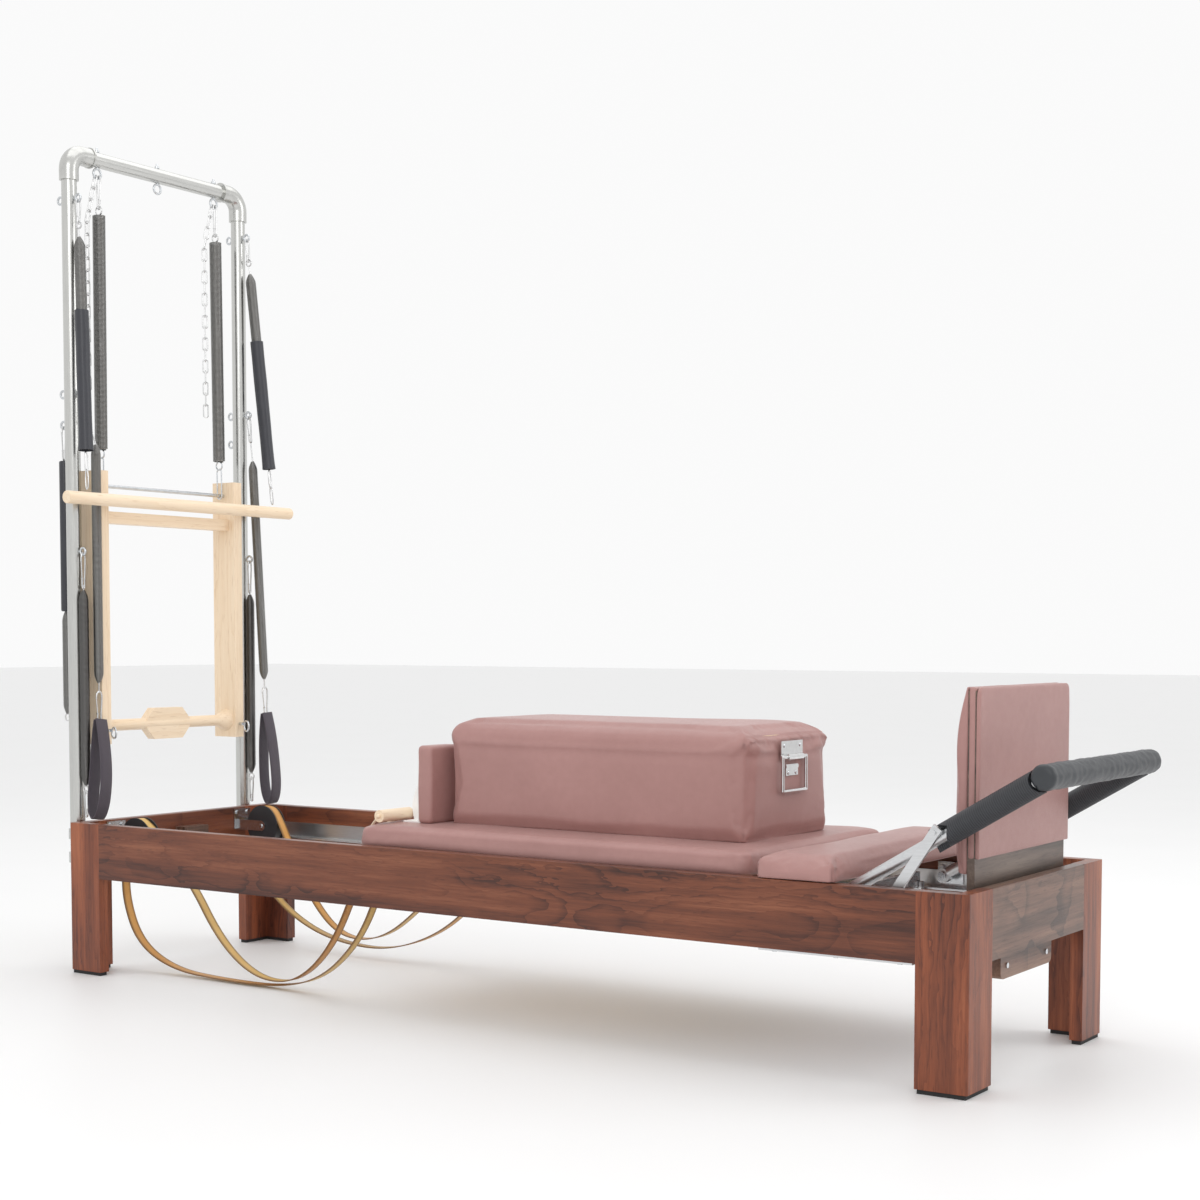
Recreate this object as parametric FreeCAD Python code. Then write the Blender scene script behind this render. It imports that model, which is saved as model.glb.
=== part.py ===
import FreeCAD, Part
import math
import os

# A classic wooden exercise bed: a carriage rides on rails inside a walnut frame, with a steel tower at the
# head end, a sitting box, a jump board, a footbar and a foot platform.
# While it is modelled, X runs from the outer face of the head end board (0) to the foot end, Y is 0 on the
# centre line, and Z is up from the floor. The left side is -Y and the right side is +Y, seen from the foot
# end. At the end everything shifts along X, so that the origin is under the middle of the whole machine.

V = FreeCAD.Vector

# ---- driving dimensions, in millimetres and degrees ----
bed_length = 2444.0
bed_width = 690.0
frame_height = 380.0
rail_height = 136.0
board = 28.0
leg_width_x = 107.0
leg_width_y = 109.0
corner_radius = 6.0
top_radius = 3.0
pad_height = 9.0
pad_inset = 4.0

track_rise = 56.0
track_wall = 4.0
track_width = 37.0
track_upstand = 36.0

head_stop = 258.0
carriage_length = 1025.0
carriage_to_spring_bar = 90.0
carriage_board = 25.0
carriage_rise = 45.0
carriage_side_gap = 17.0
cushion_overhang = 7.0
cushion_side_gap = 7.0
cushion_thickness = 52.0
cushion_corner = 34.0
cushion_round = 15.0
beam_inset = 31.0
beam_width = 36.0
beam_gap = 3.0
cleat_width = 32.0
cleat_depth = 20.0
cleat_drop = 33.0
cross_beam_width = 25.0
cross_beam_inset = 60.0
wheel_radius = 20.0
wheel_width = 15.0
axle_radius = 4.0
wheel_end_inset = 90.0
wheel_side_gap = 5.0
axle_end = 2.0
run_gap = 0.05
wheel_clearance = 0.4

spring_count = 4
spring_pitch = 100.0
carriage_spring_radius = 10.0
carriage_spring_wall = 2.4
carriage_spring_drop = 27.0
spring_hole_gap = 4.0
carriage_spring_length = 540.0
spring_bar_setback = 404.0
spring_bar_size = (16.0, 34.0)
spring_bar_gap = 49.0
strip_setbacks = (444.0, 114.0)
strip_wall = 4.0
strip_edge = 2.0
holder_wall = 8.0
holder_depths = (5.0, 10.0)
holder_drop = 12.0
holder_rise = 14.0
screw_radius = 5.5
screw_height = 2.5
strip_screw_inset = 30.0

pulley_x = 122.0
pulley_inset = 123.0
pulley_drop = 46.0
pulley_radius = 50.0
pulley_flange = 5.0
pulley_groove = 28.0
pulley_lip = 2.5
pulley_axle = 5.0
cheek_wall = 3.0
cheek_gap = 1.0
cheek_radius = 14.0
pin_end = 3.0
bracket_wall = 4.0
bracket_half = 30.0
bracket_span = (58.0, 4.0)
bracket_bolt_pitch = 38.0
bracket_bolt_drop = 10.0
strap_width = 26.0
strap_thick = 3.0
strap_lift = 0.5
strap_end_gap = 1.7
# The straps hang slack. Each corner is a share of the way from the pulley to the carriage (or, beside the
# pulley, a distance in millimetres from its middle) and a share of the frame's height.
left_under = ((0.978, 0.592), (0.892, 0.311), (0.763, 0.097), (0.595, 0.016), (0.359, 0.013), (0.147, 0.037))
left_beside = ((-7.0, 0.184), (-58.0, 0.474), (-54.0, 0.737))
left_back = (
    (0.222, 0.647), (0.346, 0.276), (0.483, 0.074), (0.618, 0.042),
    (0.720, 0.132), (0.812, 0.326), (0.882, 0.589), (0.929, 0.847),
)
right_under = (
    (0.944, 0.566), (0.838, 0.342), (0.707, 0.184), (0.545, 0.087),
    (0.384, 0.089), (0.222, 0.158), (0.072, 0.316),
)
right_beside = ((-30.0, 0.553), (-53.0, 0.763))
right_leaving = ((47.0, 0.950),)
right_back = (
    (0.141, 0.626), (0.222, 0.355), (0.321, 0.168), (0.433, 0.126),
    (0.548, 0.189), (0.658, 0.350), (0.776, 0.584), (0.884, 0.837),
)

post_radius = 19.0
tube_wall = 2.0
post_x = -33.0
post_inset = 55.0
post_foot_rise = 8.0
saddle_rises = (42.0, 102.0)
saddle_height = 26.0
saddle_ear = 44.0
saddle_wall = 4.0
saddle_bolt_pitch = 68.0
head_radius = 5.5
head_height = 4.0
tower_rise = 1675.0
elbow_wall = 5.0
elbow_lip = (2.0, 5.0)
elbow_bend = 42.0
elbow_collar = 26.0
bolt_radius = 3.0
eye_reach = 14.0
post_eye_radius = 9.0
post_eye_rises = (1560.0, 1077.0, 681.0)
rear_eye_rise = 1000.0
bar_eye_radius = 12.0
bar_eye_reach = 15.0
bar_eye_inset = 90.0
nut_radius = 6.0
nut_height = 5.5
eye_nut_height = 6.5

hook_half = 6.5
hook_wire = 2.2
ring_radius = 9.0
ring_wire = 2.0
arm_spring_rises = (950.0, 350.0)
leg_spring_rise = 90.0
coil_radius = 12.5
roll_coil_radius = 14.0
push_coil_radius = 16.5
rear_coil_radius = 11.0
coil_wall = 2.6
coil_end = 4.0
taper = 26.0
coil_tip = 0.8
stem_wire = 1.8
low_hook_length = 66.0
leg_hook_length = 90.0
leg_knot = 84.0
leg_coil_gap = 10.0
arm_hook_length = 72.0
arm_knot = 65.0
arm_stem = 26.0
arm_link_half = 9.0
arm_link_length = 78.0
arm_link_lap = 4.0
arm_tops = ((20.0, -28.0), (14.0, 1.0))
arm_ends = ((20.0, -28.0), (48.0, 4.0))
webbing_drop = 92.0
rear_hook_length = 84.0
rear_knot = 86.0
rear_sleeve = (12.5, 6.0, 380.0)
rear_tail = 640.0

roll_bar_lean = 58.0
roll_bar_rise = 810.0
roll_bar_overhang = 43.0
roll_bar_radius = 16.0
roll_groove_inset = 65.0
sleeve_radius = 17.5
sleeve_wall = 2.5
roll_hook_length = 62.0
roll_knot = 55.0
roll_spring_span = (40.0, 570.0)
roll_sleeve_span = (225.0, 575.0)
roll_wire = 1.5
roll_link_half = 5.0
roll_link_gap = 8.0
roll_link_lap = 6.0
roll_end_round = 2.5

push_lean = 7.0
push_depth = 80.0
push_side_gap = 43.0
push_plate = 29.0
push_bottom_rise = 192.0
push_height = 696.0
push_board_rise = 772.0
push_board_height = 30.0
push_board_depth = 40.0
push_rod_rise = 852.0
push_rod_radius = 5.0
push_rod_eye_inset = 13.0
push_bar_rise = 238.0
push_bar_radius = 15.0
pad_length = 150.0
pad_tall = 82.0
pad_thick = 26.0
pad_chamfer = 26.0
pad_blunt = 4.0
push_hook_length = 84.0
push_knot = 77.0
push_hook_side = 4.0
push_ring_radius = 11.0
push_spring_gap = 5.0
push_spring_rest = 88.0
push_ring_gap = 3.0
push_link_gap = 3.2
push_link_wire = 1.9
push_link_reach = 14.0
push_flare = (30.0, 34.0)
low_ring = (14.0, 2.5, 0.35)
low_ring_rises = (36.0, 30.0)
low_ring_shank = (12.0, 4.0)

chain_pitch = 30.0
chain_wire = 1.8
chain_half = 6.0
chain_links = (18, 19)
chain_side = 5.0
chain_lean = V(-2.5, -5.5, 0)
chain_lean_links = 4
chain_link_length = 36.1
chain_twists = (0.0, 45.0)
chain_play = 2.8
ring_play = 1.8
hook_play = 0.4

box_inset = 162.0
box_end_inset = 70.0
box_width = 376.0
box_height = 238.0
box_cover = 18.0
box_board = 12.0
part_gap = 1.0

handle_width = 100.0
handle_drop = 65.0
handle_reach = 72.0
bail_wire = 4.0
bail_offset = 8.0
handle_plate_wall = 2.0
upper_plate = (46.0, -4.0, 34.0)
lower_plate = (26.0, -40.0, -16.0)
bail_stop = (3.5, -24.0, -18.0)
knuckle = (32.0, 7.0, 0.1)
knuckle_web = (1.0, 1.0, 7.0, 6.5)
box_corner = 16.0
box_round = 12.0

jump_setback = 58.0
jump_board = 16.0
jump_arm_gap = 33.5
jump_rise = 377.0
jump_cover_rise = 51.0
jump_front_drop = -9.0
jump_pad = 34.0
jump_back_pad = 9.0
jump_panel_inset = 3.0
jump_cap = 8.0
jump_gap = 0.5
jump_round = 16.0

platform_setback = 454.0
platform_length = 175.0
platform_thick = 48.0
platform_round = 20.0

block_height = 110.0
block_half = 130.0
block_thick = 28.0
block_corner = 14.0
block_screw_inset = 30.0
head_block_size = (34.0, 85.0, 45.0)
head_block_side = -18.0
head_block_drop = 80.0

foot_pivot_setback = 334.0
foot_pivot_drop = 50.0
foot_arm_inset = 70.0
foot_arm_angle = 30.5
foot_arm_length = 524.0
foot_tube = 12.5
foot_bend = 45.0
foot_pin = 5.0
foot_boss = 16.0
sleeve_start = 268.0
foot_sleeve = 24.0
foot_pad_thick = 27.0
prop_pivot = 288.0
prop_offset = 11.0
prop_length = 182.0
prop_angle = -124.5
prop_width = 20.0
prop_thick = 8.0
notch_back = 44.0
notch_front = 24.0
notch_drop = 52.0
notch_rise = 14.0
foot_boss_half = 10.0
lug_size = (9.0, 11.0, 8.0)
lug_gap = 6.0
lug_wall = 4.0
prop_pin = 4.0
prop_end = 12.0
prop_gap = 0.5
foot_plate = (30.0, 22.0, 26.0)
foot_plate_wall = 4.0
foot_pin_end = 16.0
foot_cap = (11.0, 15.0, 4.0)
foot_bolt = (20.0, 14.0, 5.0, 4.0)
foot_pad_end = 24.0

rest_inset = 110.0
rest_pad = 40.0
rest_plate = 6.0
rest_height = 180.0
rest_inner_y = 120.0
rest_width = 105.0
gusset_reach = 44.0
gusset_height = 106.0
rest_pin = 6.0
rest_pin_spread = 28.0
rest_pin_setback = 24.0
rest_pin_gap = 0.8
rest_plate_inset = 12.0
rest_plate_drop = 14.0
rest_base = 5.0
rest_rib = 6.0
rest_rib_bulge = (0.78, 0.72)
rest_corner = 9.0

grip_inset = 40.0
grip_lift = 19.0
grip_radius = 14.0
grip_length = 104.0
handle_apex_reach = 32.0
handle_apex_drop = 20.0
grip_bore = 4.0
handle_wire = 3.0
handle_ball = 5.0
handle_end = 2.0
handle_eye = (14.0, 14.0, 6.0)

webbing_width = 36.0
webbing_thick = 3.0
webbing_gap = 5.0
webbing_forwards = (16.0, 0.0)
webbing_leans = (-7.0, 3.0)
webbing_fade = 100.0
webbing_fall = 218.0
webbing_loop = (
    (0, 0), (-9, -40), (-15, -110), (-16, -170), (-8, -205), (7, -222),
    (22, -205), (30, -170), (27, -110), (18, -40), (6, 2),
)

# ---- sizes that follow from the driving ones ----
half = bed_width / 2
inner_half = half - board
rail_bottom = frame_height - rail_height
board_half = half - leg_width_y
track_height = rail_bottom + track_rise
carriage_board_bottom = track_height + carriage_rise
spring_bar_x = bed_length - spring_bar_setback
spring_bar_half = inner_half - spring_bar_gap
strip_span = [bed_length - s for s in strip_setbacks]
carriage_start = spring_bar_x - carriage_to_spring_bar - carriage_length
travel = carriage_start - cushion_overhang - head_stop
carriage_spring_anchor = spring_bar_x - carriage_spring_length
carriage_spring_z = carriage_board_bottom - carriage_spring_drop
strap_clip_z = carriage_board_bottom - cleat_drop
pulley_y = half - pulley_inset
pulley_z = frame_height - pulley_drop
post_y = half - post_inset
post_bottom = rail_bottom + post_foot_rise
bar_eye_pitch = post_y - bar_eye_inset
tower_height = frame_height + tower_rise
eye_offset = post_radius + eye_reach
bar_eye_drop = post_radius + bar_eye_reach
post_eye_heights = [frame_height + rise for rise in post_eye_rises]
rear_eye_height = frame_height + rear_eye_rise
arm_spring_top, arm_spring_bottom = [frame_height + rise for rise in arm_spring_rises]
leg_spring_bottom = frame_height + leg_spring_rise
roll_bar_z = frame_height + roll_bar_rise
push_bottom = frame_height + push_bottom_rise
push_top = push_bottom + push_height
push_board_z = frame_height + push_board_rise
push_rod_z = frame_height + push_rod_rise
push_bar_z = frame_height + push_bar_rise
roll_bar_x = roll_bar_lean
roll_bar_length = bed_width + 2 * roll_bar_overhang
roll_groove_y = roll_bar_length / 2 - roll_groove_inset
push_x = post_x + push_lean
push_inner_y = post_y - push_side_gap - push_plate
push_rod_eye_y = push_inner_y - push_rod_eye_inset
cushion_bottom = carriage_board_bottom + carriage_board
cushion_top = cushion_bottom + cushion_thickness
grip_x = carriage_start + grip_inset
grip_z = cushion_top + grip_lift
handle_apex_x = carriage_start - handle_apex_reach
handle_apex_z = cushion_top - handle_apex_drop
rest_start_x = carriage_start + rest_inset
carriage_half = inner_half - carriage_side_gap
cushion_half = inner_half - cushion_side_gap
beam_outer = inner_half - beam_inset
wheel_y = beam_outer + wheel_side_gap + wheel_width / 2
axle_z = track_height + wheel_radius + wheel_clearance
strap_radius = pulley_radius + strap_lift + strap_thick / 2
box_bottom = cushion_top + part_gap
box_top = box_bottom + box_height
box_start = carriage_start + box_inset
box_length = carriage_length - box_inset - box_end_inset
handle_z = box_top - handle_drop
foot_pivot_x = bed_length - foot_pivot_setback
foot_pivot_z = frame_height - foot_pivot_drop
foot_arm_y = half - foot_arm_inset
jump_front = bed_length - jump_setback
jump_half = foot_arm_y - foot_tube - jump_arm_gap
jump_top = frame_height + jump_rise
jump_cover_bottom = frame_height + jump_cover_rise
platform_start = bed_length - platform_setback
sides = (-1, 1)

parts = {}


def block(x0, x1, y0, y1, z0, z1):
    """A plain box from its six faces."""
    return Part.makeBox(x1 - x0, y1 - y0, z1 - z0, V(x0, y0, z0))


def bar(a, b, radius):
    """A round bar from point a to point b."""
    a, b = V(*a), V(*b)
    return Part.makeCylinder(radius, (b - a).Length, a, b - a)


def pipe(a, b, outer, inner):
    return bar(a, b, outer).cut(bar(a, b, inner))


def crosswise(x, y, z, radius, half_length):
    """A round bar across the machine, centred on x, y, z."""
    return bar((x, y - half_length, z), (x, y + half_length, z), radius)


def mirrored(shape):
    """The same piece on the other side of the centre line."""
    return shape.mirror(V(0, 0, 0), V(0, 1, 0))


def both(shape):
    return [shape, mirrored(shape)]


def joined(shapes):
    return shapes[0].multiFuse(shapes[1:]).removeSplitter()


def group(shapes):
    return Part.makeCompound(shapes)


def edges_along(shape, axis, test):
    """Straight edges parallel to an axis whose middle passes a test."""
    found = []
    for e in shape.Edges:
        if not isinstance(e.Curve, Part.Line) and not isinstance(e.Curve, Part.LineSegment):
            continue
        d = e.Vertexes[-1].Point - e.Vertexes[0].Point
        if abs(abs(d.normalize().dot(axis)) - 1) < 1e-4 and test(e.CenterOfMass):
            found.append(e)
    return found


def ring(centre, axis, radius, wire):
    return Part.makeTorus(radius, wire, V(*centre), V(*axis))


def link(top, down, across, half_width, length, wire):
    """A closed oval of round wire. top is the middle of its upper bend's centre line."""
    top, down, across = V(*top), V(*down).normalize(), V(*across).normalize()
    normal = across.cross(down)
    a = top + down * half_width
    b = top + down * (length - half_width)
    bends = []
    for centre, side, sense in ((a, -across, 1), (b, across, 1)):
        face = Part.Face(Part.Wire(Part.makeCircle(wire, centre + side * half_width, down)))
        bends.append(face.revolve(centre, normal * sense, 180))
    legs = [
        Part.makeCylinder(wire, (b - a).Length, a + across * s * half_width, down) for s in sides
    ]
    return joined(bends + legs)


def spring(a, b, outer, wall, end=None):
    """The outer shape of a closed coil from a to b, open inside, with tapered ends."""
    a, b = V(*a), V(*b)
    line = b - a
    long, way = line.Length, (b - a).normalize()
    end = outer if end is None else end

    def solid(radius, tip):
        body = Part.makeCylinder(radius, long - 2 * taper, a + way * taper, way)
        if abs(radius - tip) < 1e-6:
            first = Part.makeCylinder(radius, taper, a, way)
            last = Part.makeCylinder(radius, taper, b - way * taper, way)
        else:
            first = Part.makeCone(tip, radius, taper, a, way)
            last = Part.makeCone(radius, tip, taper, b - way * taper, way)
        return joined([body, first, last])

    return solid(outer, end).cut(solid(outer - wall, max(end - wall, coil_tip)))


def rounded_path(points, label):
    """Straight runs joined by tangent arcs, each as large as its two runs allow."""
    pts = [V(*p) for p in points]
    edges = []
    start = pts[0]
    radii = []
    for i in range(1, len(pts) - 1):
        before, after = pts[i] - pts[i - 1], pts[i + 1] - pts[i]
        turn = before.getAngle(after)
        cut = 0.45 * min(before.Length, after.Length)
        radii.append(cut / math.tan(turn / 2))
        a = pts[i] - before.normalize() * cut
        b = pts[i] + after.normalize() * cut
        middle = pts[i] + ((a + b) * 0.5 - pts[i]).normalize() * (
            radii[-1] / math.cos(turn / 2) - radii[-1]
        )
        edges += [Part.LineSegment(start, a).toShape(), Part.Arc(a, middle, b).toShape()]
        start = b
    edges.append(Part.LineSegment(start, pts[-1]).toShape())
    wire = Part.Wire(edges)
    print(f"{label}: {wire.Length:.0f} mm long, bend radii", [round(r) for r in radii])
    return wire


def band(points, y, width, thick, label):
    """A flat strap whose path lies in a plane of constant Y."""
    path = rounded_path([(x, y, z) for x, z in points], label)
    first = V(points[0][0], y, points[0][1])
    way = V(points[1][0] - points[0][0], 0, points[1][1] - points[0][1]).normalize()
    out = way.cross(V(0, 1, 0))
    corners = [
        first + out * (s * thick / 2) + V(0, t * width / 2, 0)
        for s, t in ((-1, -1), (1, -1), (1, 1), (-1, 1))
    ]
    profile = Part.makePolygon(corners + corners[:1])
    sweep = Part.BRepOffsetAPI.MakePipeShell(path)
    sweep.setBiNormalMode(V(0, 1, 0))
    sweep.add(profile)
    sweep.build()
    sweep.makeSolid()
    solid = sweep.shape()
    print(f"{label}: volume {solid.Volume:.0f} against {path.Length * width * thick:.0f}")
    return solid


# ---- the wooden frame ----


def frame_boards():
    lo, hi = leg_width_x, bed_length - leg_width_x
    rail = block(lo, hi, -half, -inner_half, rail_bottom, frame_height)
    rail = rail.makeFillet(top_radius, edges_along(rail, V(1, 0, 0), lambda c: c.z > frame_height - 1))
    parts["side_rails"] = group(both(rail))
    for name, x0 in (("head_end_board", 0.0), ("foot_end_board", bed_length - board)):
        plank = block(x0, x0 + board, -board_half, board_half, rail_bottom, frame_height)
        tops = edges_along(plank, V(0, 1, 0), lambda c: c.z > frame_height - 1)
        parts[name] = plank.makeFillet(top_radius, tops)

    def leg(z0, z1, inset):
        """An L of two boards at the head end's left corner."""
        side = block(inset, leg_width_x - inset, inset - half, -inner_half - inset, z0, z1)
        end = block(inset, board - inset, inset - half, leg_width_y - half - inset, z0, z1)
        return joined([side, end])

    post = leg(pad_height, frame_height, 0)
    outer = edges_along(post, V(0, 0, 1), lambda c: abs(c.x) < 1 and abs(c.y + half) < 1)
    post = post.makeFillet(corner_radius, outer)
    pad = leg(0, pad_height, pad_inset)
    turn = V(bed_length / 2, 0, 0)

    def foot_end(shape):
        return shape.mirror(turn, V(1, 0, 0))

    parts["legs_head"] = group(both(post))
    parts["legs_foot"] = group(both(foot_end(post)))
    parts["leg_pads"] = group(both(pad) + both(foot_end(pad)))


def spring_bar_hooks():
    """U-shaped holders under the inner edge of each track, where the spring bar drops in."""
    x0, x1 = spring_bar_x, spring_bar_x + spring_bar_size[0]
    y0, y1 = -spring_bar_half - holder_depths[0], -spring_bar_half + holder_depths[1]
    low = track_height - holder_drop
    floor = block(x0 - holder_wall, x1 + holder_wall, y0, y1, low, track_height - part_gap)
    cheeks = [
        block(a, b, y0, y1, low, track_height + holder_rise)
        for a, b in ((x0 - holder_wall, x0 - part_gap), (x1 + part_gap, x1 + holder_wall))
    ]
    edge_low = track_height - track_wall
    ends = (x0 - holder_wall - 1, x1 + holder_wall + 1)
    edge = block(*ends, -inner_half, track_width - inner_half, edge_low, track_height)
    return both(joined([floor] + cheeks).cut(edge))


def frame_metal():
    lo, hi = board + 1, bed_length - board - 1
    low = track_height - track_wall
    flat = block(lo, hi, -inner_half, track_width - inner_half, low, track_height)
    up = block(lo, hi, -inner_half, track_wall - inner_half, track_height, track_height + track_upstand)
    under = rail_bottom - strip_wall
    strip = block(*strip_span, strip_edge - half, -inner_half - strip_edge, under, rail_bottom)
    parts["carriage_tracks"] = group(both(flat) + both(up) + both(strip) + spring_bar_hooks())
    screws = []
    pitch = (strip_span[1] - strip_span[0] - 2 * strip_screw_inset) / 2
    for i in range(3):
        x = strip_span[0] + strip_screw_inset + i * pitch
        y = -half + board / 2
        screws += both(bar((x, y, under), (x, y, under - screw_height), screw_radius))
    x1 = bed_length - board
    low, high = rail_bottom - block_height / 2, rail_bottom + block_height / 2
    foot_block = block(x1 - block_thick, x1, -block_half, block_half, low, high)
    corners = edges_along(foot_block, V(1, 0, 0), lambda c: c.z < rail_bottom)
    foot_block = foot_block.makeFillet(block_corner, corners)
    z = rail_bottom - block_screw_inset
    for y in (block_screw_inset - block_half, block_half - block_screw_inset):
        screws.append(bar((x1, y, z), (x1 + screw_height, y, z), screw_radius))
    deep, wide, tall = head_block_size
    y, z = head_block_side, frame_height - head_block_drop
    head_block = block(board, board + deep, y, y + wide, z, z + tall)
    parts["end_blocks"] = group([foot_block, head_block])
    return screws


# ---- the tower ----


def tower(screws):
    posts, elbows, saddles, bolts, eyes = [], [], [], [], []
    top = tower_height - elbow_bend
    post = pipe((post_x, -post_y, post_bottom), (post_x, -post_y, top), post_radius, post_radius - tube_wall)
    through = post_radius + tube_wall
    for z in post_eye_heights:
        post = post.cut(bar((post_x - through, -post_y, z), (post_x + through, -post_y, z), bolt_radius))
    hole = bar((post_x - through, -post_y, rear_eye_height), (post_x, -post_y, rear_eye_height), bolt_radius)
    parts["tower_posts"] = group(both(post.cut(hole)))
    bar_half = post_y - elbow_bend
    ends = ((post_x, -bar_half, tower_height), (post_x, bar_half, tower_height))
    cross = pipe(*ends, post_radius, post_radius - tube_wall)
    for i in (-1, 0, 1):
        y = i * bar_eye_pitch
        low, high = tower_height - through, tower_height + through
        cross = cross.cut(bar((post_x, y, low), (post_x, y, high), bolt_radius))
    parts["tower_crossbar"] = cross

    centre = V(post_x, -post_y + elbow_bend, tower_height - elbow_bend)
    start = V(post_x, -post_y, tower_height - elbow_bend)
    elbow_radius = post_radius + elbow_wall
    face = Part.Face(Part.Wire(Part.makeCircle(elbow_radius, start, V(0, 0, 1))))
    bend = face.revolve(centre, V(-1, 0, 0), 90)
    down = pipe(start, start - V(0, 0, elbow_collar), elbow_radius, post_radius)
    end = V(post_x, -post_y + elbow_bend, tower_height)
    along = pipe(end, end + V(0, elbow_collar, 0), elbow_radius, post_radius)
    lip_height, lip_width = elbow_lip
    edge = end + V(0, elbow_collar, 0)
    lip = pipe(edge - V(0, lip_width, 0), edge, elbow_radius + lip_height, post_radius)
    parts["tower_elbows"] = group(both(joined([bend, down, along, lip])))

    for rise in saddle_rises:
        z0 = rail_bottom + rise - saddle_height / 2
        z1 = z0 + saddle_height
        spacer = block(post_x, 0, -post_y - post_radius, -post_y + post_radius, z0, z1)
        ears = block(-saddle_wall, 0, -post_y - saddle_ear, -post_y + saddle_ear, z0, z1)
        foot, head = (post_x, -post_y, z0), (post_x, -post_y, z1)
        saddle = joined([spacer, ears, bar(foot, head, post_radius + saddle_wall)])
        saddles += both(saddle.cut(bar(foot, head, post_radius)))
        for y in (-post_y - saddle_bolt_pitch / 2, -post_y + saddle_bolt_pitch / 2):
            z = (z0 + z1) / 2
            cap = bar((-saddle_wall, y, z), (-saddle_wall - head_height, y, z), head_radius)
            shank = bar((-saddle_wall, y, z), (board / 2, y, z), bolt_radius)
            bolts += both(joined([cap, shank]))
    parts["tower_saddles"] = group(saddles)
    parts["frame_fasteners"] = group(screws + bolts)

    reach = eye_offset - post_eye_radius
    for z in post_eye_heights:
        ringed = sides if z > rear_eye_height else sides[1:]
        back = reach if z > rear_eye_height else post_radius
        rod = bar((post_x - back, -post_y, z), (post_x + reach, -post_y, z), bolt_radius)
        loops = [
            ring((post_x + s * eye_offset, -post_y, z), (0, 1, 0), post_eye_radius, bolt_radius)
            for s in ringed
        ]
        eyes += both(joined([rod] + loops))
    z = rear_eye_height
    rod = bar((post_x - reach, -post_y, z), (post_x - post_radius + tube_wall, -post_y, z), bolt_radius)
    loop = ring((post_x - eye_offset, -post_y, z), (0, 1, 0), post_eye_radius, bolt_radius)
    eyes += both(joined([rod, loop]))
    for i in (-1, 0, 1):
        y = i * bar_eye_pitch
        ring_z = tower_height - bar_eye_drop
        top = tower_height + post_radius
        rod_top = top + eye_nut_height + nut_height
        rod = bar((post_x, y, ring_z + bar_eye_radius), (post_x, y, rod_top), bolt_radius)
        nut = bar((post_x, y, top), (post_x, y, top + nut_height), nut_radius)
        eyes.append(joined([rod, nut, ring((post_x, y, ring_z), (1, 0, 0), bar_eye_radius, bolt_radius)]))
    parts["tower_eyebolts"] = group(eyes)


def pulleys():
    y = -pulley_y
    wheel_half = pulley_groove / 2 + pulley_lip
    cheek = wheel_half + cheek_gap
    face = board + bracket_wall
    low, high = frame_height - bracket_span[0], frame_height - bracket_span[1]
    plate = block(board, face, y - bracket_half, y + bracket_half, low, high)
    pieces = [plate, crosswise(pulley_x, y, pulley_z, pulley_axle, cheek + cheek_wall + pin_end)]
    for s in sides:
        a, b = sorted((y + s * cheek, y + s * (cheek + cheek_wall)))
        arm = block(board, pulley_x, a, b, pulley_z - cheek_radius, pulley_z + cheek_radius)
        nose = bar((pulley_x, a, pulley_z), (pulley_x, b, pulley_z), cheek_radius)
        bolt_y, bolt_z = y + s * bracket_bolt_pitch / 2, high - bracket_bolt_drop
        head = bar((face, bolt_y, bolt_z), (face + head_height, bolt_y, bolt_z), head_radius)
        pieces += [arm, nose, head]
    parts["pulley_brackets"] = group(both(joined(pieces)))
    rim = pulley_radius + pulley_flange
    wheel = crosswise(pulley_x, y, pulley_z, rim, wheel_half)
    groove = crosswise(pulley_x, y, pulley_z, rim + 1, pulley_groove / 2)
    hub = crosswise(pulley_x, y, pulley_z, pulley_radius, pulley_groove / 2)
    bore = crosswise(pulley_x, y, pulley_z, pulley_axle + run_gap, 2 * wheel_half)
    wheel = wheel.cut(groove.cut(hub)).cut(bore)
    parts["pulley_left"] = wheel
    parts["pulley_right"] = mirrored(wheel)


# ---- the leather straps ----


def over_pulley():
    """Corners of the strap's way over the top of a pulley, from its head side to its foot side."""
    step = strap_radius * math.tan(math.radians(22.5))
    low, top = pulley_z + step, pulley_z + strap_radius
    return [(pulley_x - strap_radius, low), (pulley_x - step, top), (pulley_x + step, top)]


def slack(corners):
    """Free corners from shares of the way to the carriage and of the frame's height."""
    reach = carriage_start - pulley_x
    return [(pulley_x + along * reach, high * frame_height) for along, high in corners]


def beside(corners):
    """Corners beside the pulley, from distances to its middle and shares of the frame's height."""
    return [(pulley_x + away, high * frame_height) for away, high in corners]


def straps():
    clip = (carriage_start + cleat_depth / 2, strap_clip_z - strap_end_gap)
    apex = (handle_apex_x, handle_apex_z)
    left = [clip] + slack(left_under) + beside(left_beside) + over_pulley()
    left += slack(left_back) + [apex]
    right = [clip] + slack(right_under) + beside(right_beside) + over_pulley()
    right += beside(right_leaving) + slack(right_back) + [apex]
    parts["strap_left"] = band(left, -pulley_y, strap_width, strap_thick, "strap_left")
    parts["strap_right"] = band(right, pulley_y, strap_width, strap_thick, "strap_right")


# ---- the carriage ----


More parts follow.
